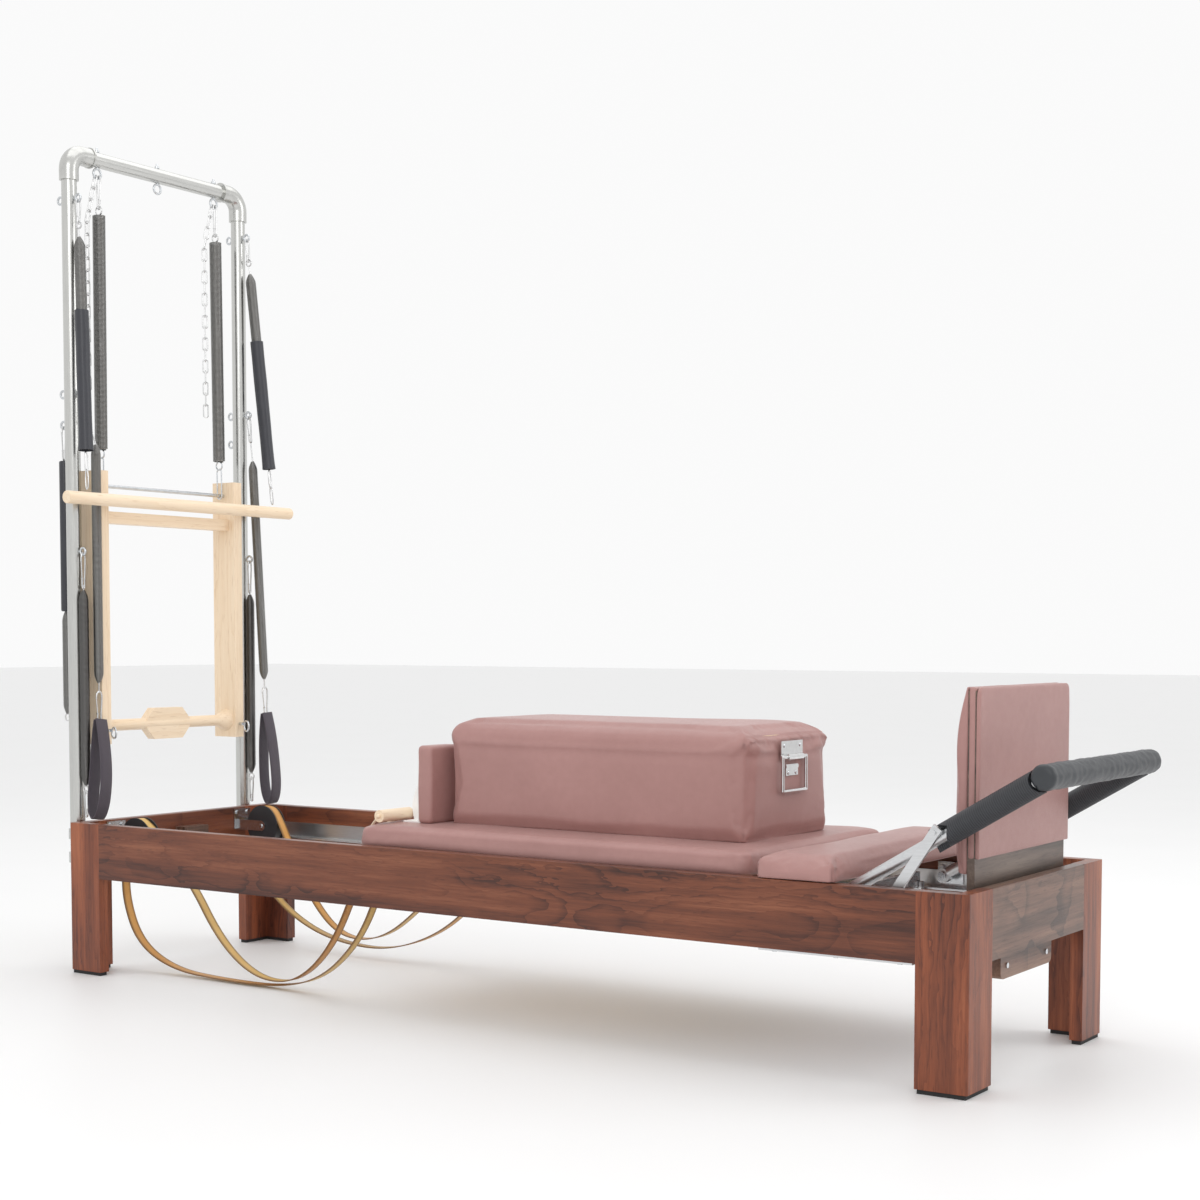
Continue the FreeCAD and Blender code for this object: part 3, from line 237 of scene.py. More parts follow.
class Value:
    """A number socket that is used in sums like a number."""

    def __init__(self, paint, socket):
        self.paint, self.socket = paint, socket

    def math(self, operation, *others):
        return self.paint.node("ShaderNodeMath", {"operation": operation}, dict(enumerate((self, *others))))

    def __add__(self, other):
        return self.math("ADD", other)

    def __mul__(self, other):
        return self.math("MULTIPLY", other)

    def __sub__(self, other):
        return self.math("SUBTRACT", other)

    def __rsub__(self, other):
        return self.paint.node("ShaderNodeMath", {"operation": "SUBTRACT"}, {0: other, 1: self})

    def __pow__(self, other):
        return self.math("POWER", other)

    __radd__, __rmul__ = __add__, __mul__


class Paint:
    """One material, built up from its nodes."""

    def __init__(self, name):
        self.material = bpy.data.materials.new(name)
        self.material.use_nodes = True
        self.tree = self.material.node_tree
        self.shader = self.tree.nodes["Principled BSDF"]

    def node(self, kind, settings=None, sockets=None, output=0):
        made = self.tree.nodes.new(kind)
        for key, value in (settings or {}).items():
            if key == "stops":
                ramp = made.color_ramp
                while len(ramp.elements) < len(value):
                    ramp.elements.new(0.5)
                for element, (place, colour) in zip(ramp.elements, value):
                    element.position = place
                    element.color = (*colour, 1)
            else:
                setattr(made, key, value)
        for key, value in (sockets or {}).items():
            self.put(made.inputs[key], value)
        return Value(self, made.outputs[output])

    def put(self, socket, value):
        if isinstance(value, Value):
            self.tree.links.new(value.socket, socket)
        elif socket.type == "RGBA":
            socket.default_value = (*value, 1)
        else:
            socket.default_value = value

    def place(self, scale=(1, 1, 1), turn=(0, 0, 0), shift=(0, 0, 0)):
        coordinates = self.node("ShaderNodeTexCoord", output="Object")
        sockets = {"Vector": coordinates, "Scale": scale, "Rotation": turn, "Location": shift}
        return self.node("ShaderNodeMapping", {}, sockets)

    def stretch(self, where, scale):
        return self.node("ShaderNodeMapping", {}, {"Vector": where, "Scale": scale})

    def noise(self, where, scale, detail=3, rough=0.5):
        sockets = {"Vector": where, "Scale": scale, "Detail": detail, "Roughness": rough}
        return self.node("ShaderNodeTexNoise", {}, sockets)

    def cells(self, where, scale, feature="F1"):
        return self.node("ShaderNodeTexVoronoi", {"feature": feature}, {"Vector": where, "Scale": scale})

    def ramp(self, value, stops):
        return self.node("ShaderNodeValToRGB", {"stops": stops}, {"Fac": value})

    def levels(self, value, low, high):
        """Stretch a value so that low becomes 0 and high becomes 1."""
        return self.node("ShaderNodeMapRange", {}, {"Value": value, "From Min": low, "From Max": high})

    def mix(self, share, a, b):
        return self.node("ShaderNodeMix", {"data_type": "RGBA"}, {0: share, 6: a, 7: b}, output=2)

    def split(self, vector, axis):
        return self.node("ShaderNodeSeparateXYZ", {}, {0: vector}, output=axis)

    def done(self, colour, rough=0.5, metal=0.0, bump=None, depth=0.001, strength=1.0, **plain):
        self.put(self.shader.inputs["Base Color"], colour)
        self.put(self.shader.inputs["Roughness"], rough)
        self.put(self.shader.inputs["Metallic"], metal)
        for key, value in plain.items():
            self.shader.inputs[key.replace("_", " ")].default_value = value
        if bump is not None:
            sockets = {"Height": bump, "Distance": depth, "Strength": strength}
            self.put(self.shader.inputs["Normal"], self.node("ShaderNodeBump", {}, sockets, "Normal"))
        return self.material


def srgb(r, g, b):
    """A colour as it is seen, from 0 to 255 each, made into light."""
    return tuple(((c / 255 + 0.055) / 1.055) ** 2.4 if c > 10 else c / 3294 for c in (r, g, b))


def shade(colour, share, lift=0.0):
    return tuple(c * share + lift for c in colour)


grain_turns = {"x": (0, 0, 0), "y": (0, 0, math.radians(90)), "z": (0, math.radians(90), 0)}


def walnut(name, grain, heart, warmth=0.0, dark=1.0, grey=0.0):
    """Plain-sawn walnut. grain is the board's long axis, and heart is where the rings' middle runs."""
    p = Paint(name)
    where = p.place(turn=grain_turns[grain], shift=heart)
    long = p.stretch(where, (0.8, 3.0, 3.0))
    drift = p.noise(long, 2.6, 5, 0.6)
    sway = p.noise(p.stretch(where, (1.3, 1.0, 1.0)), 1.7, 3, 0.55)
    x, y, z = (p.split(where, i) for i in range(3))
    across = y + (sway - 0.5) * 0.22 + x * 0.03
    up = z + (drift - 0.5) * 0.20
    radius = (across * across + up * up) ** 0.5
    ring = ((radius + (drift - 0.5) * 0.03) * 46).math("FRACT")
    late = p.levels(ring, 0.45, 1.0) ** 2.0
    bands = p.noise(p.stretch(where, (0.5, 9, 9)), 2.4, 4, 0.65)
    cloud = p.noise(p.stretch(where, (1.2, 3, 3)), 2.0, 2, 0.5)
    streak = p.noise(p.stretch(where, (6, 210, 210)), 1.0, 3, 0.7)
    pores = p.noise(p.stretch(where, (30, 800, 800)), 1.0, 1, 0.5)
    pore = p.levels(pores, 0.60, 0.72)
    tone = 0.40 + late * 0.30 * p.levels(cloud, 0.35, 0.6) + (bands - 0.5) * 1.5
    tone = tone + (cloud - 0.5) * 0.7 + (streak - 0.5) * 0.42
    k, g = warmth, grey
    stops = [
        (0.0, srgb(143 + 14 * k - 6 * g, 88 + 4 * k + 20 * g, 62 - 2 * k + 28 * g)),
        (0.34, srgb(114 + 12 * k - 4 * g, 63 + 4 * k + 20 * g, 42 + 28 * g)),
        (0.66, srgb(79 + 8 * k - 4 * g, 42 + 2 * k + 16 * g, 30 + 20 * g)),
        (1.0, srgb(44 + 6 * k, 26 + 6 * g, 21 + 8 * g)),
    ]
    wood = p.ramp(tone, [(place, shade(colour, dark)) for place, colour in stops])
    wood = p.mix(pore * 0.45, wood, srgb(44, 25, 20))
    grainy = (1 - pore) * 0.6 + streak * 0.4
    rough = 0.36 + (streak - 0.5) * 0.14
    polish = {"Coat_Weight": 0.10, "Coat_Roughness": 0.22, "Specular_IOR_Level": 0.38}
    return p.done(wood, rough, bump=grainy, depth=0.00035, strength=0.4, **polish)


def maple(name, grain):
    """Pale maple with faint rings, fine streaks and short flakes."""
    p = Paint(name)
    where = p.place(turn=grain_turns[grain], shift=(0.3, 0.1, 0.2))
    drift = p.noise(p.stretch(where, (0.7, 9, 9)), 2.2, 4, 0.55)
    across = p.split(where, 1) + p.split(where, 2) * 0.6
    ring = ((across + (drift - 0.5) * 0.10) * 55).math("FRACT") ** 3
    streak = p.noise(p.stretch(where, (7, 260, 260)), 1.0, 2, 0.6)
    flake = p.levels(p.noise(p.stretch(where, (26, 260, 260)), 1.0, 1, 0.5), 0.62, 0.74)
    tone = ring * 0.22 + drift * 0.5 + (streak - 0.5) * 0.35
    stops = [(0.1, srgb(246, 226, 199)), (0.5, srgb(235, 210, 178)), (0.95, srgb(206, 172, 134))]
    wood = p.ramp(tone, stops)
    wood = p.mix(flake * 0.3, wood, srgb(188, 152, 114))
    rough = 0.42 + (streak - 0.5) * 0.1
    return p.done(wood, rough, bump=streak, depth=0.0003, strength=0.3, Coat_Weight=0.1, Coat_Roughness=0.3)


def upholstery(name):
    """Soft dusty rose leatherette, with fine grain and painted shade in the sunk seam creases."""
    p = Paint(name)
    where = p.place()
    grain = p.cells(where, 520, "DISTANCE_TO_EDGE")
    fine = p.noise(where, 900, 2, 0.6)
    cloud = p.noise(where, 4.5, 4, 0.6)
    mottle = p.noise(where, 60, 3, 0.5)
    seam = p.node("ShaderNodeAttribute", {"attribute_name": "seam"}, output="Fac")
    colour = p.mix(p.levels(cloud, 0.3, 0.7), srgb(166, 124, 119), srgb(176, 133, 128))
    colour = p.mix(p.levels(mottle, 0.35, 0.75) * 0.22, colour, srgb(155, 113, 109))
    # painted shade: the colour is darkened along the sunk seam creases, where shade falls
    colour = p.mix(seam * 0.75, colour, srgb(104, 66, 63))
    height = p.levels(grain, 0.0, 0.12) * 0.7 + fine * 0.3
    rough = 0.40 + (mottle - 0.5) * 0.14
    sheen = {"Sheen_Weight": 0.12, "Sheen_Roughness": 0.4, "Specular_IOR_Level": 0.45}
    return p.done(colour, rough, bump=height, depth=0.00045, strength=0.35, **sheen)


def leather(name):
    """Tan strap leather: smooth outside, paler inside, dark edges."""
    p = Paint(name)
    where = p.place()
    cut = p.node("ShaderNodeAttribute", {"attribute_name": "edge"}, output="Fac")
    inner = p.node("ShaderNodeAttribute", {"attribute_name": "inner"}, output="Fac")
    cloud = p.noise(where, 26, 4, 0.6)
    fibre = p.noise(where, 420, 3, 0.7)
    grain = p.cells(where, 900, "DISTANCE_TO_EDGE")
    outside = p.mix(cloud, srgb(196, 138, 66), srgb(222, 168, 92))
    inside = p.mix(cloud, srgb(206, 166, 92), srgb(226, 190, 118))
    colour = p.mix(inner, outside, inside)
    colour = p.mix((fibre - 0.3) * 0.3, colour, srgb(150, 98, 44))
    colour = p.mix(cut * 0.8, colour, srgb(96, 62, 34))
    height = p.levels(grain, 0, 0.1) * 0.5 + fibre * 0.5
    return p.done(colour, 0.42 + (fibre - 0.5) * 0.2, bump=height, depth=0.0003, strength=0.4)


def webbing(name):
    """Dark woven band: fine threads along it and across it, a little worn."""
    p = Paint(name)
    uv = p.node("ShaderNodeTexCoord", output="UV")
    u, v = p.split(uv, 0), p.split(uv, 1)
    weave = (u * 1500).math("SINE") * (v * 900 + (u * 750).math("FLOOR") * 3.14).math("SINE")
    worn = p.noise(p.place(), 90, 3, 0.6)
    colour = p.mix(p.levels(weave, -1, 1) * 0.5 + worn * 0.3, srgb(48, 42, 50), srgb(92, 82, 94))
    return p.done(colour, 0.75, bump=weave, depth=0.0006, strength=0.5, Sheen_Weight=0.3)


def brushed(name, colour, along, rough):
    """Brushed metal, with hair lines round or along the piece."""
    p = Paint(name)
    scales = {"x": (2.0, 60, 60), "y": (60, 2.0, 60), "z": (60, 60, 2.0), "round": (3, 3, 420)}
    lines = p.noise(p.place(scale=scales[along]), 9, 4, 0.7)
    smear = p.noise(p.place(), 14, 3, 0.5)
    tone = p.mix(p.levels(lines, 0.3, 0.7), shade(colour, 0.86), colour)
    rough = rough + (lines - 0.5) * 0.12 + (smear - 0.5) * 0.10
    return p.done(tone, rough, 1.0, bump=lines, depth=0.0002, strength=0.25)


def bright(name, colour, rough=0.16, worn=0.12):
    """Plated or cast metal with faint clouding and small scratches."""
    p = Paint(name)
    cloud = p.noise(p.place(), 60, 4, 0.6)
    pits = p.noise(p.place(), 520, 2, 0.5)
    tone = p.mix(p.levels(cloud, 0.35, 0.7) * 0.5, colour, shade(colour, 0.72))
    return p.done(tone, rough + (cloud - 0.5) * worn, 1.0, bump=pits, depth=0.0002, strength=0.2)


def moulded(name, colour, rough=0.5, scale=700, depth=0.0003):
    """Plastic, rubber or paint with a fine grain. scale sets how fine."""
    p = Paint(name)
    grain = p.cells(p.place(), scale)
    cloud = p.noise(p.place(), 30, 3, 0.5)
    tone = p.mix(cloud * 0.6, colour, shade(colour, 1.7, 0.004))
    return p.done(tone, rough + (cloud - 0.5) * 0.16, bump=grain, depth=depth, strength=0.35)


def ribbed(name, colour, way, pitch):
    """Black rubber sleeve with fine ribs along its length, their crests painted paler as painted highlight.
    """
    p = Paint(name)
    where = p.place()
    along = p.split(where, 0) * way.x + p.split(where, 1) * way.y + p.split(where, 2) * way.z
    rib = (along * (2 * math.pi / pitch)).math("SINE")
    dust = p.noise(where, 40, 3, 0.6)
    dots = p.noise(p.place(), 380, 2, 0.5)
    # painted highlight: the rib crests are lightened in the colour; the dust patches are random
    crest_highlight_and_dust = p.levels(rib, -1, 1) * 0.35 + dust * 0.3
    tone = p.mix(crest_highlight_and_dust, colour, shade(colour, 3.2, 0.006))
    return p.done(tone, 0.55, bump=rib + dots * 0.5, depth=0.0007, strength=0.6)


walnut_x = walnut("walnut_rails", "x", (0.35, 0.36, -0.285), 0.1)
walnut_y = walnut("walnut_ends", "y", (0.1, 0.9, -0.25), 0.2, 1.1, grey=1.0)
walnut_head = walnut("walnut_head_end", "y", (0.1, -0.9, -0.25), 0.0, 0.9)
walnut_z = walnut("walnut_legs", "z", (0.2, 0.31, 0.12), 1.0, 1.12)
walnut_plain = walnut("walnut_panel", "y", (0.2, 0.4, -0.7), -0.2, grey=1.4)
maple_y = maple("maple_bars", "y")
maple_z = maple("maple_plates", "z")
plywood = maple("plywood", "x")
rose = upholstery("rose_leatherette")
tan = leather("tan_leather")
dark_web = webbing("dark_webbing")
posts = brushed("brushed_posts", (0.62, 0.62, 0.60), "z", 0.24)
crossbar = brushed("brushed_crossbar", (0.64, 0.64, 0.62), "y", 0.24)
elbow_metal = bright("cast_elbows", (0.60, 0.60, 0.58), 0.26, 0.16)
zinc = bright("bright_zinc", (0.66, 0.68, 0.70), 0.22)
chrome = bright("polished_chrome", (0.72, 0.72, 0.72), 0.09, 0.06)
wire = brushed("spring_wire", (0.30, 0.295, 0.285), "round", 0.30)
dark_wire = brushed("dark_spring_wire", (0.20, 0.195, 0.19), "round", 0.34)
satin = brushed("satin_aluminium", (0.70, 0.71, 0.72), "x", 0.33)
white = moulded("white_powder_coat", (0.78, 0.78, 0.77), 0.38, 900, 0.0002)
black = moulded("black_plastic", (0.018, 0.018, 0.020), 0.42)
rubber = moulded("foot_rubber", (0.016, 0.016, 0.016), 0.75, 400)
vinyl = moulded("black_vinyl_sleeve", (0.030, 0.031, 0.038), 0.36, 260, 0.0004)
hide = moulded("black_leatherette", (0.026, 0.029, 0.033), 0.44, 480, 0.0006)

arm_lean = math.radians(30.5)
sleeve_rib = 0.0045
arm_way = Vector((math.cos(arm_lean), 0, math.sin(arm_lean)))
sleeve_rubber = ribbed("ribbed_sleeves", (0.016, 0.017, 0.02), arm_way, sleeve_rib)

finishes = (
    (walnut_x, "side_rails"),
    (walnut_head, "head_end_board"),
    (walnut_y, "foot_end_board end_blocks"),
    (walnut_z, "legs_head legs_foot"),
    (walnut_plain, "jump_board_panel"),
    (maple_y, "roll_down_bar push_frame_board push_frame_foot_bar strap_handles"),
    (maple_z, "push_frame_plates"),
    (plywood, "carriage_frame box_core"),
    (posts, "tower_posts"),
    (crossbar, "tower_crossbar"),
    (elbow_metal, "tower_elbows tower_saddles"),
    (zinc, "frame_fasteners tower_eyebolts pulley_brackets wheel_axles spring_bar"),
    (zinc, "footbar_brackets push_frame_rod"),
    (chrome, "box_handle_plates box_bail_head box_bail_foot chain_left chain_right"),
    (satin, "carriage_tracks footbar_frame footbar_props"),
    (white, "shoulder_plates"),
    (black, "pulley_left pulley_right wheels_head wheels_foot"),
    (rubber, "leg_pads"),
    (sleeve_rubber, "footbar_sleeves"),
)
for material, named_nodes in finishes:
    for node in named_nodes.split():
        nodes[node].data.materials.clear()
        nodes[node].data.materials.append(material)

# ---- the camera ----

yaw, pitch, roll = (math.radians(a) for a in (123.1809, -3.0919, 0.1153))
forward = Vector((math.cos(pitch) * math.cos(yaw), math.cos(pitch) * math.sin(yaw), math.sin(pitch)))
level = Vector((math.sin(yaw), -math.cos(yaw), 0))
upright = level.cross(forward)
right = level * math.cos(roll) + upright * math.sin(roll)
up = upright * math.cos(roll) - level * math.sin(roll)
bpy.ops.object.camera_add()
camera = bpy.context.active_object
facing = Matrix((right, up, -forward)).transposed().to_4x4()
camera.matrix_world = Matrix.Translation((2.6198, -3.5769, 0.8485)) @ facing
camera.data.lens = 57.78
camera.data.sensor_width = 36
camera.data.shift_x = -0.0464
camera.data.shift_y = 0.1176
camera.data.clip_end = 100
scene.camera = camera

# ---- straps and webbing ----


def route(points):
    """A smooth line that follows a strap's points."""
    curve = bpy.data.curves.new("route", "CURVE")
    curve.dimensions = "3D"
    spline = curve.splines.new("NURBS")
    spline.points.add(len(points) - 1)
    for place, p in zip(spline.points, points):
        place.co = (*p, 1)
    spline.order_u = 3
    spline.use_endpoint_u = True
    spline.resolution_u = 14
    holder = bpy.data.objects.new("route", curve)
    mesh = bpy.data.meshes.new_from_object(holder)
    line = [v.co.copy() for v in mesh.vertices]
    bpy.data.objects.remove(holder)
    bpy.data.curves.remove(curve)
    bpy.data.meshes.remove(mesh)
    return line


def band(name, line, width, thick, across):
    """A flat strap with rounded edges along a line, its flat side turned across."""
    half = [(-0.5, -0.32), (-0.46, -0.5), (-0.2, -0.5), (0.2, -0.5), (0.46, -0.5), (0.5, -0.32)]
    outline = half + [(-s, -t) for s, t in half]
    count = len(outline)
    points, faces, far, along = [], [], 0.0, []
    for i, p in enumerate(line):
        a, b = line[max(i - 1, 0)], line[min(i + 1, len(line) - 1)]
        way = (b - a).normalized()
        side = (Vector(across) - way * way.dot(Vector(across))).normalized()
        out = way.cross(side)
        far += (p - a).length if i else 0
        along.append(far)
        points += [p + side * (s * width) + out * (t * thick) for s, t in outline]
    for i in range(len(line) - 1):
        for j in range(count):
            k = (j + 1) % count
            faces.append((i * count + j, i * count + k, (i + 1) * count + k, (i + 1) * count + j))
    faces += [tuple(range(count)), tuple(reversed(range(len(points) - count, len(points))))]
    mesh = bpy.data.meshes.new(name)
    mesh.from_pydata(points, [], faces)
    obj = bpy.data.objects.new(name, mesh)
    scene.collection.objects.link(obj)
    uv = mesh.uv_layers.new(name="UVMap")
    for loop in mesh.loops:
        i, j = divmod(loop.vertex_index, count)
        uv.data[loop.index].uv = (along[i], (outline[j][0] + 0.5) * width)
    edge = mesh.attributes.new("edge", "FLOAT", "POINT")
    inner = mesh.attributes.new("inner", "FLOAT", "POINT")
    for i in range(len(points)):
        s, t = outline[i % count]
        edge.data[i].value = 1.0 if abs(s) > 0.45 else 0.0
        inner.data[i].value = 1.0 if t < 0 else 0.0
    only(obj)
    bpy.ops.object.mode_set(mode="EDIT")
    bpy.ops.mesh.select_all(action="SELECT")
    bpy.ops.mesh.normals_make_consistent(inside=False)
    bpy.ops.object.mode_set(mode="OBJECT")
    return smooth(obj, 50)


mm = 0.001
strap_width, strap_thick, strap_side = 0.026, 0.003, 0.222
pulley_x, pulley_z, wrap = 122, 334, 52
step = wrap * math.tan(math.radians(22.5))
over = [
    (pulley_x - wrap, pulley_z + step),
    (pulley_x - step, pulley_z + wrap),
    (pulley_x + step, pulley_z + wrap),
]
under_left = [
    (935, 311), (907, 225), (838, 118), (735, 37), (600, 6),
    (410, 5), (240, 14), (115, 70), (64, 180), (68, 280),
]
under_right = [
    (935, 311), (880, 215), (795, 130), (690, 70), (560, 33),
    (430, 34), (300, 60), (180, 120), (92, 210), (69, 290),
]
back_left = [
    (300, 246), (400, 105), (510, 28), (618, 16), (700, 50),
    (774, 124), (830, 224), (868, 322), (893, 402),
]
back_right = [
    (169, 361), (235, 238), (300, 135), (380, 64), (470, 48),
    (562, 72), (650, 133), (745, 222), (832, 318), (893, 402),
]


def cut_at(line, test):
    """The line's index of the first point that passes a test."""
    return next(i for i, p in enumerate(line) if test(p))


def length_of(line):
    return sum((b - a).length for a, b in zip(line, line[1:]))


for side, name, below, back in (
    (-1, "strap_left", under_left, back_left),
    (1, "strap_right", under_right, back_right),
):
    whole = route([Vector((head + x * mm, side * strap_side, z * mm)) for x, z in below + over + back])
    top = max(range(len(whole)), key=lambda i: whole[i].z if whole[i].x < head + 0.3 else 0)
    first = cut_at(whole, lambda p: p.x < head + 0.1 and p.z > 0.28)
    last = top + cut_at(whole[top:], lambda p: p.x > head + 0.16)
    runs = (("under", whole[: first + 1]), ("wrap", whole[first : last + 1]), ("back", whole[last:]))
    for part, line in runs:
        piece = band(f"{name}_{part}", line, strap_width, strap_thick, (0, side, 0))
        dressed(piece, "frame", "leather", tan, name)
        line[-1] if part == "back" else line[0]
        round(length_of(line), 3)
        "taut" if part == "wrap" else "hanging"
        if part == "under":
            anchor = (head + (pulley_x - wrap) * mm, 0, 0.3)
            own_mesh(piece)
        if part == "back":
            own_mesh(piece)

webbing_width, webbing_thick = 0.036, 0.003
webbing_low, webbing_fall, webbing_fade = 0.385, 0.218, 100
knot_rise = 0.008
loop_points = [
    (0, 0), (-9, -40), (-15, -110), (-16, -170), (-8, -205), (7, -222),
    (22, -205), (30, -170), (27, -110), (18, -40), (6, 2),
]


def lowest_link(side):
    """The wire link at the foot of a side's arm spring."""
    found = []
    for s in solids_of("arm_springs"):
        long, wide, _ = s["sizes"]
        if long < 0.09 and wide > 0.015 and s["middle"].y * side > 0 and s["middle"].z < 0.9:
            found.append(s)
    return min(found, key=lambda s: s["middle"].z)


for side, name, push, lean in ((-1, "webbing_left", 16, -7.0), (1, "webbing_right", 0, 3.0)):
    link = lowest_link(side)
    knot = link["middle"] - Vector((0, 0, link["sizes"][0] / 2 - knot_rise))
    scale = (knot.z - webbing_low) / webbing_fall
    turn = Matrix.Rotation(math.radians(lean), 4, "X")
    places = []
    for x, z in loop_points:
        fade = (1 - math.cos(min(-z, webbing_fade) / webbing_fade * math.pi)) / 2
        places.append(knot + turn @ Vector(((x + push * fade) * mm, 0, z * mm * scale)))
    line = route(places)
    piece = band(name + "_loop", line, webbing_width, webbing_thick, turn @ Vector((0, 1, 0)))
    dressed(piece, "frame", "webbing", dark_web, name)
    round(length_of(line), 3)

# ---- springs, hooks and rings ----


upright_section = (math.pi / 2, 0, 0)
coil_taper = 0.026
coil_tip = 0.004


def coil(name, a, b, radius, thick, tip=None, sides=6, steps=14, pitch=None):
    """A closed coil of wire from a to b. With a tip, both ends are drawn in to that radius."""
    long = (b - a).length
    pitch = pitch or thick * 2.1
    turns = round(long / pitch)
    bpy.ops.object.select_all(action="DESELECT")
    bpy.ops.mesh.primitive_circle_add(
        vertices=sides, radius=thick, location=(radius - thick, 0, 0), rotation=upright_section
    )
    obj = settle(named(name))
    turning = {"iterations": turns, "steps": steps, "render_steps": steps, "use_smooth_shade": True}
    modify(obj, "SCREW", angle=2 * math.pi, screw_offset=long / turns, **turning)
    only(obj)
    bpy.ops.object.mode_set(mode="EDIT")
    bpy.ops.mesh.select_all(action="SELECT")
    bpy.ops.mesh.fill_holes(sides=0)
    bpy.ops.mesh.select_all(action="SELECT")
    bpy.ops.mesh.normals_make_consistent(inside=False)
    bpy.ops.object.mode_set(mode="OBJECT")
    for v in obj.data.vertices if tip else ():
        far = max(min(v.co.z, long - v.co.z), 0) / coil_taper
        if far < 1:
            share = (tip + (radius - tip) * math.sin(far * math.pi / 2)) / radius
            v.co.x *= share
            v.co.y *= share
    obj.data.transform(turned(a, b))
    return obj


def wire_loop(name, points, radius, closed=True, sides=10, order=4):
    """A bent round wire along points."""
    curve = bpy.data.curves.new(name, "CURVE")
    curve.dimensions = "3D"
    spline = curve.splines.new("NURBS")
    spline.points.add(len(points) - 1)
    for place, p in zip(spline.points, points):
        place.co = (*p, 1)
    spline.order_u = order
    spline.use_cyclic_u = closed
    spline.use_endpoint_u = not closed
    spline.resolution_u = 5
    curve.bevel_depth = radius
    curve.bevel_resolution = (sides - 4) // 2
    curve.use_fill_caps = True
    obj = bpy.data.objects.new(name, curve)
    scene.collection.objects.link(obj)
    only(obj)
    bpy.ops.object.convert(target="MESH")
    obj = bpy.context.active_object
    bpy.ops.object.shade_smooth()
    return obj


def ring(name, middle, axis, radius, thick):
    bpy.ops.object.select_all(action="DESELECT")
    bpy.ops.mesh.primitive_torus_add(
        major_radius=radius, minor_radius=thick, major_segments=40, minor_segments=10
    )
    obj = named(name)
    obj.data.transform(turned(middle, middle + axis))
    smooth(obj, 60)
    return obj


def snap_hook(name, middle, way, across, long, wide, thick):
    """A pear-shaped snap hook with a sprung gate, a hinge pin and a nose."""
    h, w = long / 2, wide / 2 - thick
    place = turned(middle, middle - way, across)

    def wire_part(part, shape, radius, order=4):
        points = [place @ Vector((x, 0, -z)) for x, z in shape]
        return wire_loop(f"{name}_{part}", points, radius, closed=False, order=order)

    bow = [(0, h - thick), (w * 0.9, h - thick * 1.2), (w * 1.05, h * 0.55), (w * 0.72, -h * 0.15)]
    heel = [(w * 0.5, -h * 0.6), (w * 0.62, -h + thick * 2.2), (w * 0.2, -h + thick)]
    hinge = [(-w * 0.45, -h + thick * 1.1), (-w * 0.72, -h * 0.75), (-w * 0.6, -h * 0.45)]
    body = wire_part("body", bow + heel + hinge, thick)
    nose = [(0, h - thick), (-w * 0.75, h - thick * 1.1), (-w * 1.05, h * 0.72), (-w * 0.98, h * 0.5)]
    tip = wire_part("nose", nose, thick)
    bar = [(-w * 0.96, h * 0.52), (-w * 0.86, h * 0.2), (-w * 0.62, -h * 0.42)]
    gate = wire_part("gate", bar, thick * 0.72, order=3)
    across_hinge = [place @ Vector((-w * 0.62, y, h * 0.42)) for y in (-thick * 1.5, thick * 1.5)]
    pin = wire_loop(name + "_pin", across_hinge, thick * 0.6, closed=False, order=2)
    return joined(name, [body, tip, gate, pin])


def oval_link(name, s, tips, straight):
    """A long closed link of wire in place of a plain one. tips narrows its rounded ends."""
    long, wide, thin = s["sizes"]
    w, h = wide / 2 - thin / 2, long / 2 - thin / 2
    place = turned(s["middle"], s["middle"] + s["axes"][0], s["axes"][1])
    quarter = [(w, 0), (w * straight, h * 0.7), (w * tips, h)]
    left = [(-x, z) for x, z in reversed(quarter)]
    shape = quarter + left + [(-x, -z) for x, z in quarter[1:]] + [(w * tips, -h), (w * straight, -h * 0.7)]
    return wire_loop(name, [place @ Vector((x, 0, z)) for x, z in shape], thin / 2)


def hung_pieces(node):
    """Sort the solids of a hung node into coils, hooks, rings and stems, each with its long axis up."""
    sorted_out = {"coil": [], "hook": [], "ring": [], "stem": []}
    for s in solids_of(node):
        long, wide, thin = s["sizes"]
        if s["axes"][0].z < 0:
            s["axes"][0] = -s["axes"][0]
        if long > 0.2:
            kind = "coil"
        elif wide > 0.8 * long:
            kind = "ring"
        elif wide > 0.008:
            kind = "hook"
        else:
            kind = "stem"
        sorted_out[kind].append(s)
    return sorted_out


def ends_of(s):
    half = s["axes"][0] * s["sizes"][0] / 2
    return s["middle"] + half, s["middle"] - half


hook_width = 0.0155


def hardware(node, body, slot, paint, prefix):
    """Detailed hooks, rings and stems in place of a node's plain ones, as one piece."""
    made = []
    found = hung_pieces(node)
    for i, s in enumerate(found["hook"]):
        long, wide, thin = s["sizes"]
        if wide > hook_width:
            name = f"{prefix}_hook_{i}"
            made.append(snap_hook(name, s["middle"], s["axes"][0], s["axes"][1], long, wide, thin / 2))
        else:
            made.append(oval_link(f"{prefix}_link_{i}", s, 0.6, 1))
    for i, s in enumerate(found["ring"]):
        outside, _, thin = s["sizes"]
        made.append(ring(f"{prefix}_ring_{i}", s["middle"], s["axes"][2], (outside - thin) / 2, thin / 2))
    for i, s in enumerate(found["stem"]):
        top, bottom = ends_of(s)
        side = s["axes"][1]
        bend = [top, top.lerp(bottom, 0.3) + side * 0.0006, top.lerp(bottom, 0.7) - side * 0.0006, bottom]
        made.append(wire_loop(f"{prefix}_stem_{i}", bend, s["sizes"][2] / 2, closed=False, sides=8))
    if made:
        return dressed(joined(prefix + "_hardware", made), body, slot, paint, node)


hardware("roll_down_hooks", "roll_down_hanger", "chrome", chrome, "roll_down")
hardware("push_frame_hooks", "push_hanger", "chrome", chrome, "push_frame")

